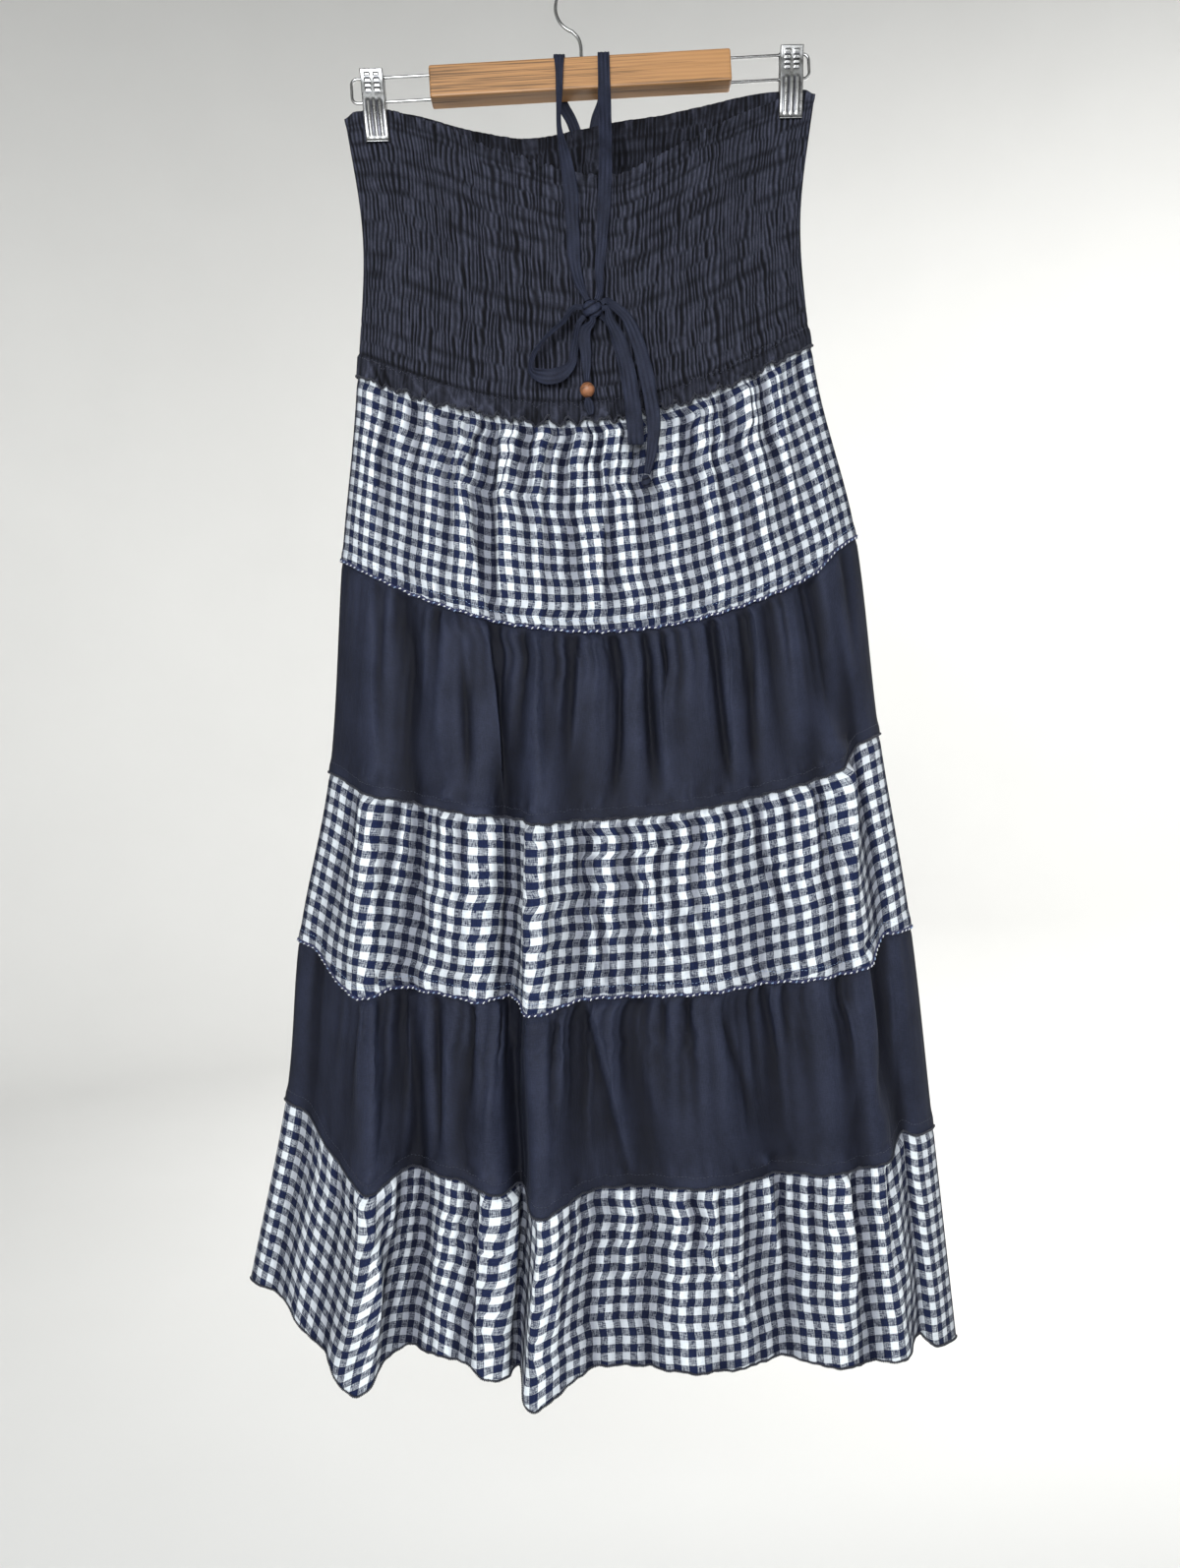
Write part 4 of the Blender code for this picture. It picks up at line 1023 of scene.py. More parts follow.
def metal_finish(settings):
    """Bright steel with duller smudges and fine scratches."""
    look, tree, shader = new_finish("bright_plated_steel", 0.30, Metallic=1.0)
    if tree is None:
        return look
    place = object_place(tree)
    smudge = noise(tree, place, 160.0, 3.0)
    dull = tuple(DULL_METAL_SHARE * part for part in settings.metal)
    colour = mix(tree, ramp(tree, smudge, 0.35, 0.7), settings.metal, dull)
    tree.links.new(colour, shader.inputs["Base Color"])
    tree.links.new(ramp(tree, smudge, 0.3, 0.7, 0.10, 0.26), shader.inputs["Roughness"])
    scratch = noise(tree, scaled(tree, place, (1.0, 1.0, 0.15)), 3000.0)
    raise_surface(tree, shader, scratch, 0.00004, 0.4)
    return look


def pressed_finish(settings):
    """Bright steel with tarnish lying between its pressed ribs."""
    look, tree, shader = new_finish("pressed_plated_steel", 0.2, Metallic=1.0)
    if tree is None:
        return look
    smudge = noise(tree, object_place(tree), 220.0, 3.0)
    bright = mix(tree, ramp(tree, smudge, 0.35, 0.7), PRESSED_BRIGHT, settings.metal)
    colour = mix(tree, attribute(tree, "crest"), TARNISH, bright)
    tree.links.new(colour, shader.inputs["Base Color"])
    tree.links.new(ramp(tree, smudge, 0.3, 0.7, 0.26, 0.40), shader.inputs["Roughness"])
    raise_surface(tree, shader, smudge, 0.00008, 0.4)
    return look


def backdrop_finish():
    look, tree, shader = new_finish("studio_paper", 0.95)
    if tree is None:
        return look
    grain = noise(tree, object_place(tree), 3.0)
    tree.links.new(mix(tree, grain, *PAPER), shader.inputs["Base Color"])
    return look


def seam_fade(u):
    return 1.0 - u**8


def ridge_sum(rng, count, length, place, down, ridges):
    """Small ridges and troughs that start at an edge and fade away from it, spread unevenly along it."""
    spots = (np.arange(count) + rng.uniform(0.1, 0.9, count)) * length / count
    lift = np.zeros_like(place)
    for spot in spots:
        width = rng.uniform(*ridges.widths)
        height = rng.uniform(*ridges.heights) * rng.choice((-1.0, 1.0))
        reach = rng.uniform(*ridges.reaches)
        drift = rng.uniform(-ridges.lean, ridges.lean)
        fade = 1.0 - smoothstep(down, 0.2 * reach, reach)
        lift += height * bell(place - spot, drift * down, width) * fade
    return lift


def crease_lift(side, points):
    """Folds along listed lines, each with a softer and a sharper side, fading at both ends."""
    lift = np.zeros(points.shape[:-1])
    x = points[..., 0]
    z = points[..., 2]
    for crease in FRONT_CREASES if side == "front" else BACK_CREASES:
        xs, zs = np.array(crease.places, float).T
        middle = smooth_through(-zs, xs, -z)
        offset = x - middle
        width = np.where(offset < 0.0, crease.left, crease.right)
        fade = min(0.55 * (zs[0] - zs[-1]), 48.0)
        ends = smoothstep(z, zs[-1] - 12.0, zs[-1] + fade)
        ends = ends * (1.0 - smoothstep(z, zs[0] - 4.0, zs[0] + 14.0))
        away = np.abs(offset) / (CREASE_SPREAD * width)
        lift += CREASE_GAIN * crease.height * ends * np.exp(-(away**CREASE_ROUND))
    return lift


def drawn_in(side, t, share, lift, cut_width):
    """Where cloth that doesn't stretch lies along its panel, once its folds have taken up their width."""
    fine = np.linspace(-1.0, 1.0, 3001)
    u = np.empty_like(share)
    step = cut_width * (share[0, 1] - share[0, 0])
    rise = np.diff(lift, axis=1)
    advance = np.sqrt(np.maximum(step**2 - rise**2, (STEEPEST * step) ** 2))
    for row in range(len(share)):
        line = panel_point(side, fine, np.full_like(fine, t[row, share.shape[1] // 2]))
        runs = run_along(line[:, :2])
        places = np.concatenate([[0.0], np.cumsum(advance[row])])
        u[row] = np.interp(places / places[-1] * runs[-1], runs, fine)
    return u


def elastic_bands(u, t):
    """The band between elastic rows at each place, how far it is into the next, and the rows' dents."""
    passed = np.zeros_like(t)
    dents = np.zeros_like(t)
    for number, row in enumerate(ELASTIC_ROWS):
        wander = 0.004 * np.sin(9.0 * u + number * 1.7) + 0.003 * np.sin(23.0 * u + number)
        passed += smoothstep(t - row - wander, -ROW_BLEND, ROW_BLEND)
        dents = np.maximum(dents, bell(t - row, wander, ROW_WIDTH))
    band = np.clip(np.floor(passed).astype(int), 0, len(ELASTIC_ROWS) - 1)
    return band, passed - band, dents


def rib_crests(ribs, rng, share, u, t, band, into):
    """The count of ribs up to each place, and how near it is to a rib's crest, from 0 to 1."""
    bands = len(ELASTIC_ROWS) + 1
    knots = ribs // 4
    shifts = rng.uniform(-RIB_SHIFT, RIB_SHIFT, (bands, knots + 2))
    left = np.floor(share * knots).astype(int)
    between = smoothstep(share * knots - left, 0.0, 1.0)

    def shift_of(which):
        return shifts[which, left] * (1 - between) + shifts[which, left + 1] * between

    shift = shift_of(band) * (1 - into) + shift_of(band + 1) * into
    sway = 0.09 * np.sin(2 * math.pi * (t * 8.0 + 3.1 * u))
    sway = sway + 0.08 * np.sin(2 * math.pi * (t * 3.3 - 5.0 * u))
    uneven = 0.30 * np.sin(2 * math.pi * (share * 13.0 + 0.7 * np.sin(5.0 * u + 3.0 * t)))
    rib = share * ribs + shift + sway + uneven
    valley = np.clip(np.floor(rib + 1.0).astype(int), 0, ribs + 3)
    depths = rng.uniform(*VALLEY_DEPTHS, (bands, ribs + 4))
    deep = depths[band, valley] * (1 - into) + depths[band + 1, valley] * into
    swing = 0.5 - 0.5 * np.cos(2 * math.pi * (rib - 0.5) + math.pi)
    return rib, 1.0 - deep * swing**0.9


def shirred_panel(side, settings):
    """Ribs that break and shift at every elastic row, a gathered casing on top and a frill at the waist."""
    count, rows = BODICE_GRIDS[side]
    rng = np.random.default_rng(11 if side == "front" else 12)
    u_line, length = even_columns(side, 0.5, count)
    top_line = panel_point(side, u_line, np.zeros_like(u_line))
    waist_line = panel_point(side, u_line, np.ones_like(u_line))
    low_end = 1.0 + LAP / np.linalg.norm(waist_line - top_line, axis=1)
    t = crowded(rows, 0.35)[:, None] * low_end[None, :]
    u = np.broadcast_to(u_line, t.shape)
    share = np.broadcast_to(np.linspace(0.0, 1.0, count + 1), t.shape)
    base = panel_point(side, u, t)
    out = outwards(side, base)
    band, into, dents = elastic_bands(u, t)
    rib, crest = rib_crests(RIBS[side], rng, share, u, t, band, into)

    # How far each place is inside the casing, the frill and the fallen part of the frill, and off the clips
    casing = 1.0 - smoothstep(t, *CASING_EDGE)
    frill = smoothstep(t, 0.90, 1.0)
    frill_top = np.interp(u, (-1.0, 0.0, 1.0), FRILL_TOPS[side])
    fallen = smoothstep(t, frill_top, frill_top + 0.015)
    free = 1.0 - np.clip(clip_pinch(base[..., 0], t * 0.5), 0.0, 1.0)
    away = (1.0 - u**16) * (0.25 + 0.75 * free)

    wave = 1.0 + np.sin(math.pi * FRILL_WAVES * u + 1.3 * np.sin(5.0 * u))
    above_fold = FRILL_DEEP - np.maximum(t - frill_top, 0.0) * BODICE_HIGH
    crinkle = ridge_sum(rng, FRILL_COUNT, length, share * length, above_fold, FRILL_CRINKLES)
    plump = ridge_sum(rng, CASING_COUNT, length, share * length, t * BODICE_HIGH, CASING_GATHERS)
    stitched = bell(t, frill_top, 0.006) + 0.8 * bell(t, CASING_STITCH, 0.005)
    rise = settings.rib_rise / MM * crest * (1.0 - ROW_DENT * dents)
    rise = rise * (1.0 - 0.35 * casing) * (1.0 - 0.5 * fallen)
    rise = rise + 1.0 * casing + plump * casing + (1.2 + crinkle) * fallen - 1.2 * stitched
    lift = 0.7 + rise * away + FRILL_FLARE * frill * wave * seam_fade(u)
    points = base + out * np.maximum(lift, 0.4 + 1.7 * fallen)[..., None]

    # Painted shade: the share of its colour each place shows, most on the rib crests, casing bumps and frill
    # crinkles, least in the hollows between them, in the elastic rows' dents and along the stitched lines
    shows = crest * (1.0 - casing) * (1.0 - fallen)
    shows = shows + casing * np.clip(0.12 + 0.7 * crest + 0.30 * plump, 0.0, 1.0)
    shows = shows + fallen * np.clip(0.38 + 0.35 * crest + 0.22 * crinkle, 0.0, 1.0)
    shows = shows * (1.0 - 0.40 * dents) * (1.0 - 0.45 * np.minimum(stitched, 1.0))
    # Painted shade: the back panel is darkened all over, for the shade inside it
    shows = np.clip((1.0 if side == "front" else 0.85) * shows, 0.0, 1.0)

    # The scalloped top edge, the frill's ragged one, and ribs that slide sideways and bulge at the seams
    scallops = (0.7 * (crest - 0.5) + 0.8 * plump) * (1.0 - smoothstep(t, 0.0, 0.03)) * away
    ragged = 2.2 * np.sin(2 * math.pi * share * 23 + 3 * np.sin(11 * share))
    ragged = ragged + 1.3 * np.sin(2 * math.pi * share * 57) + 1.1 * crinkle
    dropped = CORNER_DROP * smoothstep(np.abs(u), 0.945, 1.0) ** 2 * (1.0 - smoothstep(t, 0.0, 0.07))
    points[..., 2] += scallops + ragged * smoothstep(t, 0.96, 1.02) * seam_fade(u) - dropped
    slid = 0.35 * np.sin(2 * math.pi * (rib * 0.5 + 0.2)) * away
    points[..., 0] += slid + np.sign(u) * u**16 * SIDE_BUMPS * (0.4 - dents) * free

    flat_map = np.stack([share * BODICE_CUT.width, -run_along(base)], axis=-1) * MM
    name = f"bodice_{side}_cloth"
    panels[name] = (points, out)
    finish = shirred_finish(settings)
    flipped = side == "front"
    thing = cloth_object(name, points, flat_map, finish, settings.thickness, shows, flipped)
    settle(thing, "bodice_" + side)
    return thing


def tier_lift(number, side, rng, base, u, place, v, down, up, length):
    """How far a tier's cloth stands out from the dress's form, and its folds before the seams press them."""
    phase = math.pi * GATHERS_PER_PANEL * u + 1.1 * np.sin(3.7 * u + number) + 0.6 * np.sin(9.0 * u)
    fade = 0.15 + 0.85 * np.clip(1.0 - v, 0.0, 1.0) ** 1.3
    gathered = FIRST_TIER_GATHERED if number == 1 else 1.0
    lift = gathered * GATHER_RISE * np.cos(phase) * fade * (1.0 - smoothstep(v, 0.8, 1.0))
    from_top = np.maximum(down - LAP, 0.0)
    fine = ridge_sum(rng, int(length / FINE_PITCH), length, place, from_top, FINE_GATHERS)
    lift += gathered * fine
    lift += ridge_sum(rng, int(length / BROAD_PITCH), length, place, from_top, BROAD_GATHERS)
    if number < LAST_TIER:
        from_low = np.maximum(up - 8.0, 0.0)
        lift += ridge_sum(rng, int(length / PUCKER_PITCH), length, place, from_low, SEAM_PUCKERS)
    else:
        lift += ridge_sum(rng, int(length / HEM_PITCH), length, place, up, HEM_WAVES)
    lift += crease_lift(side, base)
    gathers = lift * seam_fade(u)
    free = BODY_LIFT + gathers
    deepest = LEAST_LIFT - np.clip(TROUGH_SHARE * np.abs(base[..., 1]), 0.0, DEEPEST_TROUGH)
    free = np.maximum(free, deepest)
    under = 1.0 - smoothstep(down, LAP, LAP + 7.0)
    free = free * (1.0 - under) + UNDER_LIFT * under
    if number < LAST_TIER:
        over = 1.0 - smoothstep(up, 5.0, 14.0)
        free = free * (1.0 - over) + OVER_LIFT * over
    return free, gathers


def raised_share(points, out, column_step):
    """From 0 in the hollows between folds to 1 on their crests, read against the cloth around each place: the
    mask of the painted shade in the hollows.
    """
    stands = np.sum(points[..., :2] * out[..., :2].mean(axis=1, keepdims=True), axis=-1)
    raised = np.zeros_like(stands)
    for width, depth, weight in HOLLOWS:
        reach = max(int(width / column_step), 1)
        padded = np.pad(stands, ((0, 0), (reach, reach)), mode="edge")
        sums = np.cumsum(np.pad(padded, ((0, 0), (1, 0))), axis=1)
        around = (sums[:, 2 * reach + 1 :] - sums[:, : -2 * reach - 1]) / (2 * reach + 1)
        raised += weight * smoothstep(stands - around, -depth, depth)
    return raised


def tier_panel(number, side, settings):
    """One tier: gathered into the seam above, folded as it hangs, puckered where the next tier is sewn on."""
    count, rows = FRONT_GRID if side == "front" else BACK_GRID
    cut = TIER_CUTS[number]
    u_line, length = even_columns(side, number + 0.5, count)
    top_line = panel_point(side, u_line, np.full_like(u_line, number))
    low_line = panel_point(side, u_line, np.full_like(u_line, number + 1.0))
    height = float(np.mean(np.linalg.norm(low_line - top_line, axis=1)))
    lap = LAP if number < LAST_TIER else 0.0
    start = -TUCKED_UNDER / height
    end = 1.0 + lap / height
    v = (start + (end - start) * crowded(rows, 0.45))[:, None] * np.ones((1, count + 1))
    share = np.linspace(0.0, 1.0, count + 1) * np.ones_like(v)
    t = np.minimum(number + v, HEM_LEVEL)
    u = u_line * np.ones_like(v)
    down = v * height
    up = (end - v) * height
    for turn in range(3):
        base = panel_point(side, u, t)
        rng = np.random.default_rng(100 * number + (1 if side == "front" else 2))
        lift, gathers = tier_lift(number, side, rng, base, u, share * length, v, down, up, length)
        if turn < 2:
            u = drawn_in(side, t, share, gathers, cut.width)
    out = outwards(side, base)
    points = base + out * lift[..., None]
    edge_wave = 0.6 * np.sin(2 * math.pi * share * 29 + 2.2 * np.sin(13 * share))
    edge_wave = edge_wave + 0.4 * np.sin(2 * math.pi * share * 71)
    points[..., 2] += edge_wave * (1.0 - smoothstep(up, 0.0, 9.0)) * seam_fade(u)
    middle = panel_point(side, u_line * np.ones_like(v), t)
    start_of_check = np.array([0.37, 0.61]) * number * settings.check_repeat / MM
    flat_map = (np.stack([share * cut.width, -run_along(middle)], axis=-1) + start_of_check) * MM
    checked = number % 2 == 1
    finish = gingham_finish(settings) if checked else navy_finish(settings)
    name = f"tier_{number}_{side}_cloth"
    panels[name] = (points, out)
    # Painted shade: this crest value darkens the cloth's colour in the hollows between folds
    crest = raised_share(points, out, length / count)
    flipped = side == "front"
    thing = cloth_object(name, points, flat_map, finish, settings.thickness, crest, flipped)
    settle(thing, f"tier_{number}_{side}")
    return thing


def smooth_line(rows, steps):
    """Rows read from a smooth curve through every row, steps of them from each row to the next."""
    rows = np.asarray(rows, float)
    places = run_along(rows[:, :3])
    parts = [np.linspace(low, high, steps, endpoint=False) for low, high in zip(places, places[1:])]
    at = np.concatenate([*parts, places[-1:]])
    return np.stack([smooth_through(places, column, at) for column in rows.T], axis=1)


def from_knot(name):
    """The two stops where a tie, loop or tail leaves the knot, straight out from its surface."""
    end = KNOT_ENDS[name]
    turn = math.radians(end.turn)
    out = math.radians(end.out)
    way = np.array([math.sin(turn) * math.cos(out), -math.sin(out), math.cos(turn) * math.cos(out)])
    radius = 1.0 / np.linalg.norm(way / (np.array(KNOT_SIZE) / 2))
    across = (end.way * math.cos(turn), 0.0, -end.way * math.sin(turn))
    stops = []
    for lead in (KNOT_CLEAR, KNOT_LEAD):
        place = np.array(KNOT_MIDDLE) + way * (radius + lead)
        stops.append(Stop(*place, end.wide, *across))
    return tuple(stops)


def tie_strip(node_name, stops, settings, seed):
    """A folded and stitched strip of navy cotton, creased along it, with its length and mean width."""
    line = smooth_line(stops, STRIP_STEPS)
    middles = line[:, :3]
    along = np.gradient(middles, axis=0)
    along /= np.linalg.norm(along, axis=1, keepdims=True)
    across = line[:, 4:7] - along * np.sum(line[:, 4:7] * along, axis=1, keepdims=True)
    across /= np.linalg.norm(across, axis=1, keepdims=True)
    flat = np.cross(along, across)
    shares = np.linspace(-1.0, 1.0, 13)
    run = run_along(middles)
    rng = np.random.default_rng(seed)
    phase = rng.uniform(0.0, 6.28, 3)
    grooves = TIE_CREASE * np.cos(2 * math.pi * shares * 1.5 + phase[0])[None, :]
    grooves = grooves * (1 + 0.6 * np.sin(run / 9.0 + phase[1]))[:, None]
    pulls = TIE_CREASE * np.sin(run / 5.0 + phase[2])[:, None] * shares[None, :]
    lift = np.clip(grooves + pulls, -0.35, 0.35)
    half_wide = (line[:, 3:4] / 2 - 0.1) * (1 + 0.03 * np.sin(run / 6.0 + phase[0]))[:, None]
    sideways = across[:, None] * (half_wide * shares)[..., None]
    points = middles[:, None] + sideways + flat[:, None] * lift[..., None]
    flat_map = np.stack(np.broadcast_arrays(half_wide * shares, run[:, None]), axis=-1) * MM
    finish = navy_finish(settings)
    thick = 0.8 * TIE_THICK * MM
    # Painted shade: the crest value 0.6 + lift is lower in the strip's grooves, where the navy finish darkens
    # the colour
    thing = cloth_object(node_name + "_cloth", points, flat_map, finish, thick, 0.6 + lift, offset=0.0)
    settle(thing, node_name)
    return thing, float(run[-1]), float(np.mean(line[:, 3]))


def wrapped_lump(node_name, middle, size, tilt, settings):
    """A pulled knot: a squashed ball with the strip's turns showing as bands round it."""
    mesh = bmesh.new()
    bmesh.ops.create_uvsphere(mesh, u_segments=40, v_segments=28, radius=1.0)
    lean = Matrix.Rotation(math.radians(tilt), 3, "Y")
    half = Vector(size) / 2 * MM
    crests = []
    for vert in mesh.verts:
        way = lean @ vert.co
        around = math.atan2(way.y, way.x)
        from_top = math.acos(max(-1.0, min(1.0, way.z)))
        groove = math.sin(KNOT_TURNS * from_top + 0.8 * math.sin(around))
        dent = math.exp(-((groove / 0.35) ** 2))
        swell = 1.0 - 0.16 * dent + 0.03 * math.sin(3 * around)
        # Painted shade: the grooves between the turns get a low crest value, so the navy finish darkens them
        crests.append(0.8 * (1.0 - dent))
        stretched = Vector([place * reach for place, reach in zip(vert.co, half)])
        vert.co = Vector(middle) * MM + stretched * swell
    thing = plain_object(node_name + "_cloth", mesh, navy_finish(settings), 180.0)
    layer = thing.data.uv_layers.new(name="cloth")
    for corner in thing.data.loops:
        co = thing.data.vertices[corner.vertex_index].co
        layer.data[corner.index].uv = (co.x, co.z)
    point_values(thing.data, "crest", crests)
    settle(thing, node_name)
    return thing


def on_hanger(x, z):
    """A point of the tilted hanger, given from the middle of its bar."""
    return (
        BAR_MIDDLE[0] + x * math.cos(HANGER_TILT) - z * math.sin(HANGER_TILT),
        BAR_MIDDLE[1],
        BAR_MIDDLE[2] + x * math.sin(HANGER_TILT) + z * math.cos(HANGER_TILT),
    )


def wire(name, points, thick, finish):
    """A round wire as a bevelled curve with filled ends."""
    data = bpy.data.curves.new(name, "CURVE")
    data.dimensions = "3D"
    data.bevel_depth = thick / 2 * MM
    data.bevel_resolution = 6
    data.use_fill_caps = True
    run = data.splines.new("POLY")
    run.points.add(len(points) - 1)
    for stop, point in zip(run.points, points):
        stop.co = (*(Vector(point) * MM), 1.0)
    run.use_smooth = True
    return add_object(name, data, finish)


def jaw(side, face, settings):
    """A pressed sheet with turned-back sides, short grip bars above and long ribs below, down to the lip."""
    toward = -1.0 if face == "front" else 1.0
    x, z = CLIP_PLACE[side]
    body_face = CLIP_BODY[1] / 2 + REST_GAP
    lip_face = CLOTH_WALL + SEAM_GAP / 2 + REST_GAP
    along_body = (body_face + 1.6, body_face, body_face, body_face, body_face - 0.2)
    along_lip = (lip_face + 1.2, lip_face, lip_face)
    down = np.linspace(0.0, 1.0, 85)[:, None]
    away = smooth_through(JAW_LEVELS, along_body + along_lip, down)

    # The sheet is flat across its middle, bends back at both sides and ends in a flange
    flat_half = CLIP_WIDE / 2 - JAW_BEND
    bend_length = JAW_BEND * math.pi / 2
    reach = flat_half + bend_length + JAW_FLANGE
    crossing = np.linspace(-reach, reach, 61)[None, :]
    over = np.maximum(np.abs(crossing) - flat_half, 0.0)
    turn = np.minimum(over / JAW_BEND, math.pi / 2)
    flange = np.maximum(over - bend_length, 0.0) * np.clip((away - 1.0) / 3.4, 0.1, 1.0)
    turned_back = JAW_BEND * (1 - np.cos(turn)) + flange
    sideways = np.minimum(np.abs(crossing), flat_half) + JAW_BEND * np.sin(turn)
    sideways = np.sign(crossing) * sideways

    ribs = np.zeros(np.broadcast_shapes(down.shape, crossing.shape))
    grooves = np.zeros_like(ribs)
    ribbed = smoothstep(down, 0.40, 0.45) * (1 - smoothstep(down, 0.90, 0.95))
    for middle in JAW_RIBS:
        ribs = ribs + bell(crossing, middle, 1.05) * ribbed
        for edge in JAW_RIB_EDGES:
            grooves = grooves + bell(crossing - middle, edge, 0.75) * ribbed
    for middle in GRIP_PLACES:
        across = 1 - smoothstep(np.abs(crossing - middle), 1.9, 2.9)
        for row in GRIP_ROWS:
            ribs = ribs + 0.9 * bell(down, row, 0.016) * across
            grooves = grooves + bell(down - row, 0.035, 0.014) * across
    curled = 0.9 * smoothstep(down, 0.965, 1.0)
    outer = away + CLIP_SHEET + 0.95 * ribs - turned_back + curled
    lean = math.tan(CLIP_TILT[side]) * down * CLIP_TALL
    places = np.broadcast_arrays(x + sideways + lean, toward * outer, z - down * CLIP_TALL)
    points = np.stack(places, axis=-1)
    flat_map = np.stack(np.broadcast_arrays(crossing, down * CLIP_TALL), axis=-1) * MM
    node_name = f"clip_{side}_{face}_jaw"
    shows = np.clip(0.72 + 0.28 * ribs - 0.72 * grooves, 0.0, 1.0)
    finish = pressed_finish(settings)
    thick = JAW_SHEET * MM
    thing = cloth_object(node_name + "_metal", points, flat_map, finish, thick, shows, face == "front")
    settle(thing, node_name)


def edge_path(name, above_edge, lift):
    """A line on a panel, that far above its lower edge, moved out by lift: its points and outward vectors."""
    points, out = panels[name]
    runs = run_along(points[::-1])
    line = np.empty((points.shape[1], 3))
    for column in range(points.shape[1]):
        for axis in range(3):
            line[column, axis] = np.interp(above_edge, runs[:, column], points[::-1, column, axis])
    return line + out[-1] * lift, out[-1]


def walk(line, out, pitch):
    """Evenly spaced places along a line, with the way along and the way out at each."""
    runs = run_along(line)
    at = np.arange(ROW_INSET, runs[-1] - ROW_INSET, pitch)

    def read(rows, where):
        return np.stack([np.interp(where, runs, column) for column in rows.T], axis=1)

    places = read(line, at)
    along = read(line, at + 0.5) - read(line, at - 0.5)
    along /= np.linalg.norm(along, axis=1, keepdims=True)
    facing = read(out, at)
    facing -= along * np.sum(facing * along, axis=1, keepdims=True)
    facing /= np.linalg.norm(facing, axis=1, keepdims=True)
    return places, along, facing


def stitches(panel, label, sewing, finish, seed):
    """A row of stitches sewn along a panel, above its lower edge."""
    line, out = edge_path(panel + "_cloth", sewing.above, sewing.out)
    places, along, facing = walk(line, out, sewing.pitch)
    rng = np.random.default_rng(seed)
    across = np.cross(facing, along)
    turn = np.radians(sewing.slant + rng.uniform(-4, 4, len(places)))[:, None]
    first = along * np.cos(turn) + across * np.sin(turn)
    second = np.cross(facing, first)
    turns = np.stack([first, second, facing], axis=-1)
    sizes = np.array(sewing.size) / 2 * rng.uniform(0.9, 1.1, (len(places), 1))
    template = bmesh.new()
    bmesh.ops.create_icosphere(template, subdivisions=1, radius=1.0)
    template.verts.index_update()
    tones = np.asarray(sewing.tones, float)[np.arange(len(places)) % len(sewing.tones)]
    thing = repeated_object(f"{panel}_{label}", template, places, turns, sizes, tones, finish)
    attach(thing, "root")


class DRESS_OT_stage(Operator):
    """Place the camera, the pale floor that sweeps up into a backdrop, and the soft lights"""

    bl_idname = "dress.stage"
    bl_label = "Stage"

    def execute(self, context):
        scene = context.scene
        lens = bpy.data.cameras.new("camera")
        lens.sensor_fit = "VERTICAL"
        lens.sensor_height = SENSOR
        lens.lens = PHOTO_FOCAL_PIXELS / PHOTO_HEIGHT * SENSOR
        lens.clip_start = 0.01
        camera = bpy.data.objects.new("camera", lens)
        scene.collection.objects.link(camera)
        up = Vector((math.sin(CAMERA_ROLL), 0.0, math.cos(CAMERA_ROLL)))
        right = Vector((math.cos(CAMERA_ROLL), 0.0, -math.sin(CAMERA_ROLL)))
        turn = Matrix((right, up, Vector((0.0, -1.0, 0.0)))).transposed()
        camera.matrix_world = Matrix.Translation(CAMERA_PLACE) @ turn.to_4x4()
        scene.camera = camera
        self.floor()
        for name, lamp in LAMPS.items():
            self.light(name, lamp)
        sky = bpy.data.worlds.new("studio")
        sky.use_nodes = True
        sky.node_tree.nodes["Background"].inputs["Color"].default_value = SKY
        sky.node_tree.nodes["Background"].inputs["Strength"].default_value = SKY_STRENGTH
        scene.world = sky
        scene.view_settings.view_transform = "Standard"
        return {"FINISHED"}

    def floor(self):
        """A round floor whose rim bends up into a wall, open at the top."""
        below = -1.45
        flat_radius = 2.3
        sweep = 0.9
        wall_top = 3.4
        profile = [(0.0, below), (flat_radius, below)]
        for angle in np.linspace(0.0, math.pi / 2, 12)[1:]:
            radius = flat_radius + sweep * math.sin(angle)
            profile.append((radius, below + sweep * (1 - math.cos(angle))))
        profile.append((flat_radius + sweep, wall_top))
        floor = plain_object("floor", turned(profile, 72, 1e-5), backdrop_finish(), 80.0)

    def light(self, name, lamp):
        data = bpy.data.lights.new(name, "AREA")
        data.shape = "DISK"
        data.size = lamp.size
        data.energy = lamp.power
        data.color = lamp.colour
        thing = bpy.data.objects.new(name, data)
        thing.location = lamp.place
        towards = Vector(lamp.target) - Vector(lamp.place)
        thing.rotation_euler = towards.to_track_quat("-Z", "Y").to_euler()
        thing.visible_camera = False
        bpy.context.scene.collection.objects.link(thing)


class DRESS_OT_bodice(Operator):
    """Make the shirred front and back of the bodice"""

    bl_idname = "dress.bodice"
    bl_label = "Bodice"

    def execute(self, context):
        for side in ("front", "back"):
            shirred_panel(side, context.scene.dress_cloth)
        return {"FINISHED"}


class DRESS_OT_skirt(Operator):
    """Make the five tiers of the skirt, front and back"""

    bl_idname = "dress.skirt"
    bl_label = "Skirt tiers"

    def execute(self, context):
        for side in ("front", "back"):
            for number in range(1, LAST_TIER + 1):
                tier_panel(number, side, context.scene.dress_cloth)
        return {"FINISHED"}


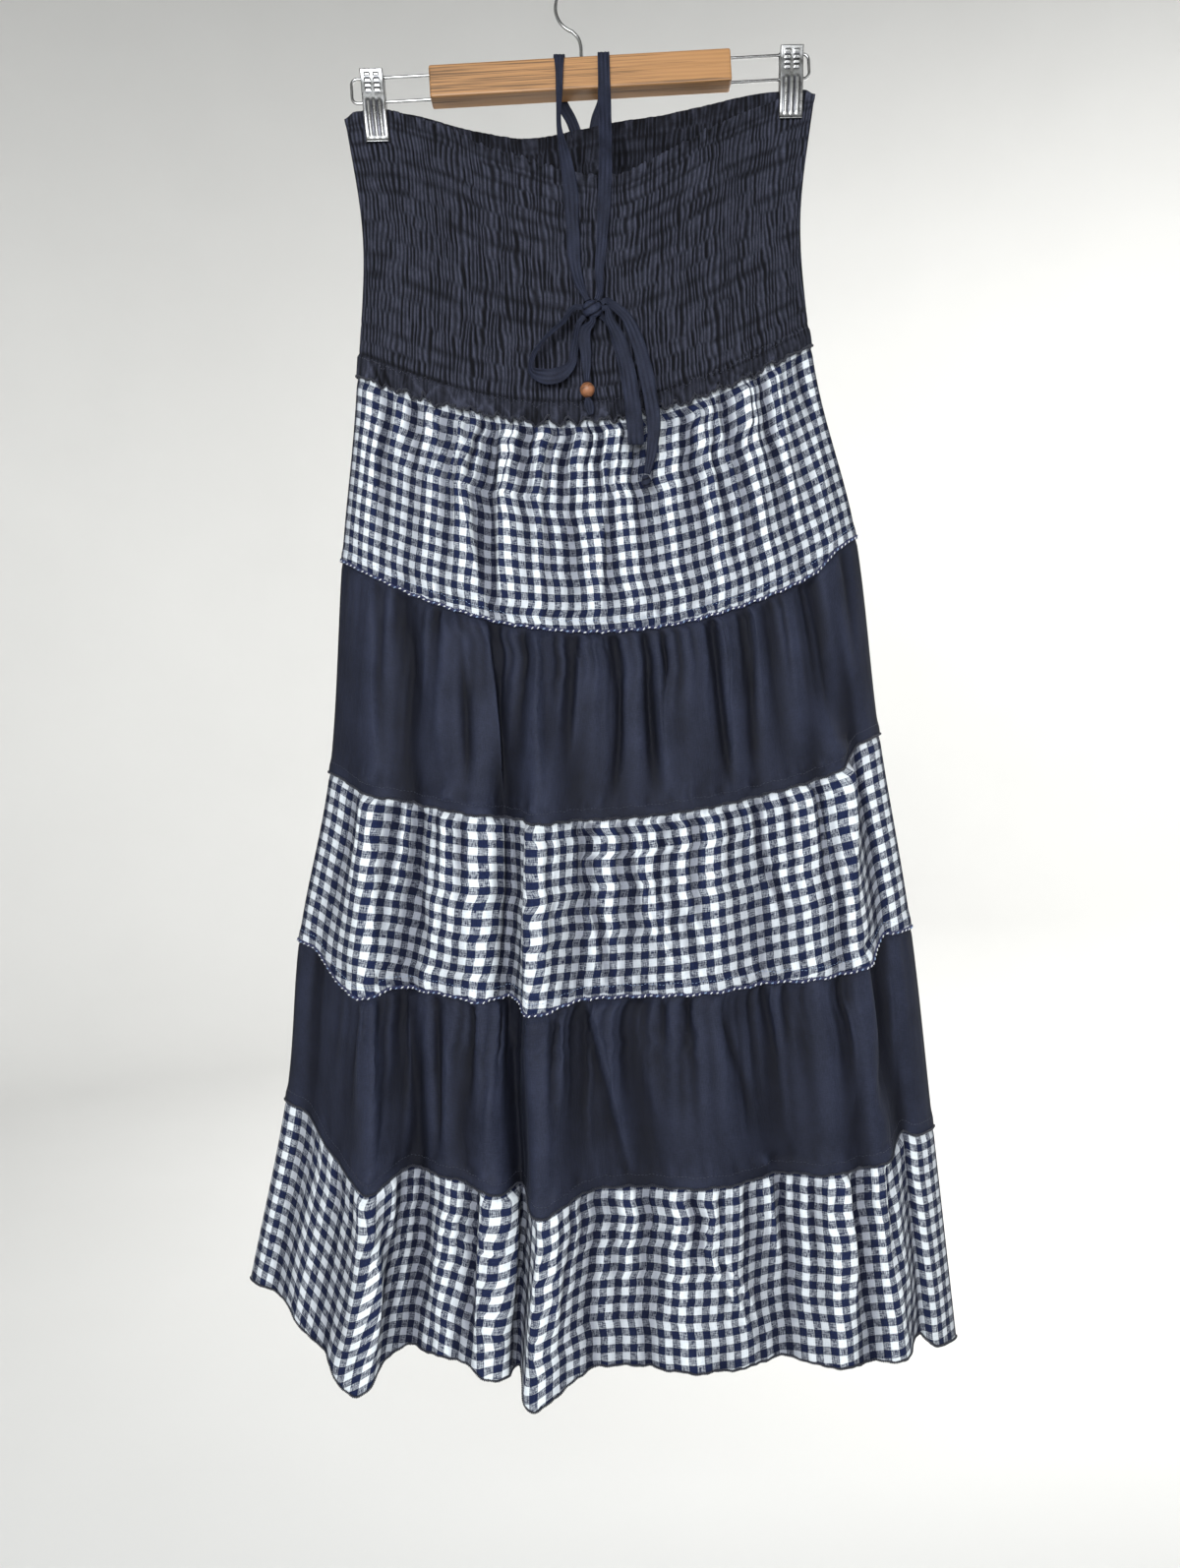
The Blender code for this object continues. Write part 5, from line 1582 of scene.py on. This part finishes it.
class DRESS_OT_trim(Operator):
    """Sew the overlocked edges and the topstitching along the seams and the hem"""

    bl_idname = "dress.trim"
    bl_label = "Trim and stitching"

    def execute(self, context):
        if not panels:
            raise RuntimeError("the bodice and the skirt come before their trim")
        settings = context.scene.dress_cloth
        topstitch = TOPSTITCH._replace(pitch=settings.stitch_pitch / MM)
        picot = thread_finish("picot_thread", *PICOT_THREAD)
        navy = thread_finish("navy_thread", *NAVY_THREAD)
        for side_number, side in enumerate(("front", "back")):
            for number in range(LAST_TIER + 1):
                panel = f"tier_{number}_{side}" if number else f"bodice_{side}"
                picots_show = number in (1, 3)
                finish = picot if picots_show else navy
                seed = 10 * number + side_number
                rows = [("edging", THICK_EDGING if picots_show else EDGING, seed)]
                if picots_show:
                    rows.append(("loops", PICOTS, seed + 50))
                if number == 0:
                    rows.append(("topstitch", topstitch._replace(above=BODICE_TOPSTITCH_ABOVE), seed + 100))
                elif number < LAST_TIER:
                    rows.append(("topstitch", topstitch, seed + 100))
                for label, sewing, own_seed in rows:
                    stitches(panel, label, sewing, finish, own_seed)
        return {"FINISHED"}


class DRESS_OT_ties(Operator):
    """Make the halter ties, the bow with its loops and tails, the knots and the wooden bead"""

    bl_idname = "dress.ties"
    bl_label = "Ties and bow"

    def execute(self, context):
        settings = context.scene.dress_cloth
        knot = wrapped_lump("bow_knot", KNOT_MIDDLE, KNOT_SIZE, 35.0, settings)
        end_knot = wrapped_lump("tail_right_knot", TAIL_RIGHT_KNOT, TAIL_KNOT_SIZE, 15.0, settings)
        bead = self.bead(context.scene.dress_hanger)
        loop_left = from_knot("loop_left_out") + LOOP_LEFT + from_knot("loop_left_back")[::-1]
        loop_right = from_knot("loop_right_out") + LOOP_RIGHT + from_knot("loop_right_back")[::-1]
        strips = (
            ("tie_left", TIE_LEFT + from_knot("tie_left")[::-1], "hanger_bar", [knot]),
            ("tie_right", TIE_RIGHT + from_knot("tie_right")[::-1], "hanger_bar", []),
            ("bow_loop_left", loop_left, "bow_knot_cloth", []),
            ("bow_loop_right", loop_right, "bow_knot_cloth", []),
            ("tail_left", from_knot("tail_left") + TAIL_LEFT, "bow_knot_cloth", [bead]),
            ("tail_left_end", TAIL_LEFT_END, "tail_left_bead_wood", []),
            ("tail_right", from_knot("tail_right") + TAIL_RIGHT, "bow_knot_cloth", [end_knot]),
        )
        for seed, (node_name, stops, carrier, goes_with) in enumerate(strips, start=5):
            strip, length, width = tie_strip(node_name, stops, settings, seed)
        return {"FINISHED"}

    def bead(self, settings):
        """A turned ball with a rounded bore up and down."""
        outer = BEAD_SIZE / 2
        bore = BEAD_BORE / 2
        opening = math.asin(bore / outer)
        angles = np.linspace(opening, math.pi - opening, 22)
        profile = [(outer * math.sin(angle), outer * math.cos(angle)) for angle in angles]
        inner = outer * math.cos(opening) - 0.5
        profile += [(bore - 0.3, height) for height in (-inner, 0.0, inner)]
        mesh = turned(profile, 36, 1e-4, closed=True)
        place = Matrix.Translation(Vector(BEAD_MIDDLE) * MM) @ Matrix.Diagonal((MM, MM, MM, 1.0))
        bmesh.ops.transform(mesh, matrix=place, verts=mesh.verts[:])
        finish = wood_finish("bead_turned_wood", settings.bead, 260.0, 0.4)
        bead = plain_object("tail_left_bead_wood", mesh, finish, 60.0)
        settle(bead, "tail_left_bead")
        return bead


class DRESS_OT_hanger(Operator):
    """Finish the wooden bar and make the hook and the two bent wire arms"""

    bl_idname = "dress.hanger"
    bl_label = "Hanger"

    def execute(self, context):
        settings = context.scene.dress_hanger
        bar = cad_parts["hanger_bar"]
        finish = wood_finish("bar_planed_wood", settings.wood, 95.0, HANGER_TILT)
        bar.data.materials.clear()
        bar.data.materials.append(finish)
        metal = metal_finish(settings)
        settle(wire("hook_wire", self.hook_line(), HOOK_WIRE, metal), "hook")
        for side in ("left", "right"):
            arm = wire(f"arm_{side}_wire", self.arm_line(side), ARM_WIRE, metal)
            settle(arm, "arm_" + side)
        return {"FINISHED"}

    def hook_line(self):
        reach = HOOK_INSIDE + HOOK_WIRE / 2
        arc = []
        for angle in np.linspace(HOOK_LEAVES, HOOK_TIP, 56):
            turn = math.radians(angle)
            arc.append((reach * math.cos(turn), 0.0, reach * math.sin(turn) - HOOK_INSIDE))
        foot = BAR_MIDDLE[2] + BAR_SIZE[2] / 2 + REST_GAP
        stem = [(0.0, 0.0, foot), (0.0, 0.0, foot + 9.0), (-0.4, 0.0, foot + 15.0), (-2.4, 0.0, foot + 21.0)]
        rows = np.array(stem + arc[:1])
        smooth = smooth_line(rows, 5)
        return [tuple(row) for row in smooth[:-1]] + arc

    def arm_line(self, side):
        out = -1.0 if side == "left" else 1.0
        start = BAR_SIZE[0] / 2 + REST_GAP
        bend = ARM_RISE / 4
        corner = ARM_REACH - bend
        ends = []
        for height in (1.0, -1.0):
            run = [
                on_hanger(out * (start + share * corner), height * ARM_RISE / 2)
                for share in (0.0, 0.5, 1.0)
            ]
            turns = []
            for angle in np.linspace(0.0, 90.0, 9)[1:]:
                turn = math.radians(angle)
                reach = out * (start + corner + bend * math.sin(turn))
                turns.append(on_hanger(reach, height * (ARM_RISE / 2 - bend * (1 - math.cos(turn)))))
            ends.append(run + turns)
        return ends[0] + ends[1][::-1]


class DRESS_OT_clips(Operator):
    """Make the pressed jaws of both clips and finish their bodies"""

    bl_idname = "dress.clips"
    bl_label = "Clips"

    def execute(self, context):
        settings = context.scene.dress_hanger
        for side in ("left", "right"):
            for face in ("front", "back"):
                jaw(side, face, settings)
            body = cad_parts[f"clip_{side}_body"]
            body.data.materials.clear()
            body.data.materials.append(metal_finish(settings))
        return {"FINISHED"}


class DRESS_PT_panel(Panel):
    """Lists the steps that build the dress"""

    bl_label = "Halter dress"
    bl_idname = "DRESS_PT_panel"
    bl_space_type = "VIEW_3D"
    bl_region_type = "UI"
    bl_category = "Dress"

    def draw(self, context):
        column = self.layout.column()
        for group in (context.scene.dress_cloth, context.scene.dress_hanger):
            for name in group.bl_rna.properties.keys():
                if name not in ("rna_type", "name"):
                    column.prop(group, name)
        for step in STEPS:
            column.operator(step.bl_idname)


STEPS = (
    DRESS_OT_stage,
    DRESS_OT_bodice,
    DRESS_OT_skirt,
    DRESS_OT_trim,
    DRESS_OT_ties,
    DRESS_OT_hanger,
    DRESS_OT_clips,
)
CLASSES = (ClothSettings, HangerSettings, *STEPS, DRESS_PT_panel)


def register():
    for kind in CLASSES:
        bpy.utils.register_class(kind)
    bpy.types.Scene.dress_cloth = PointerProperty(type=ClothSettings)
    bpy.types.Scene.dress_hanger = PointerProperty(type=HangerSettings)


def unregister():
    del bpy.types.Scene.dress_hanger
    del bpy.types.Scene.dress_cloth
    for kind in reversed(CLASSES):
        bpy.utils.unregister_class(kind)


def main():
    register()
    bpy.ops.dress.stage()
    bpy.ops.dress.bodice()
    bpy.ops.dress.skirt()
    bpy.ops.dress.trim()
    bpy.ops.dress.ties()
    bpy.ops.dress.hanger()
    bpy.ops.dress.clips()
    bpy.context.view_layer.update()


if __name__ == "__main__":
    main()
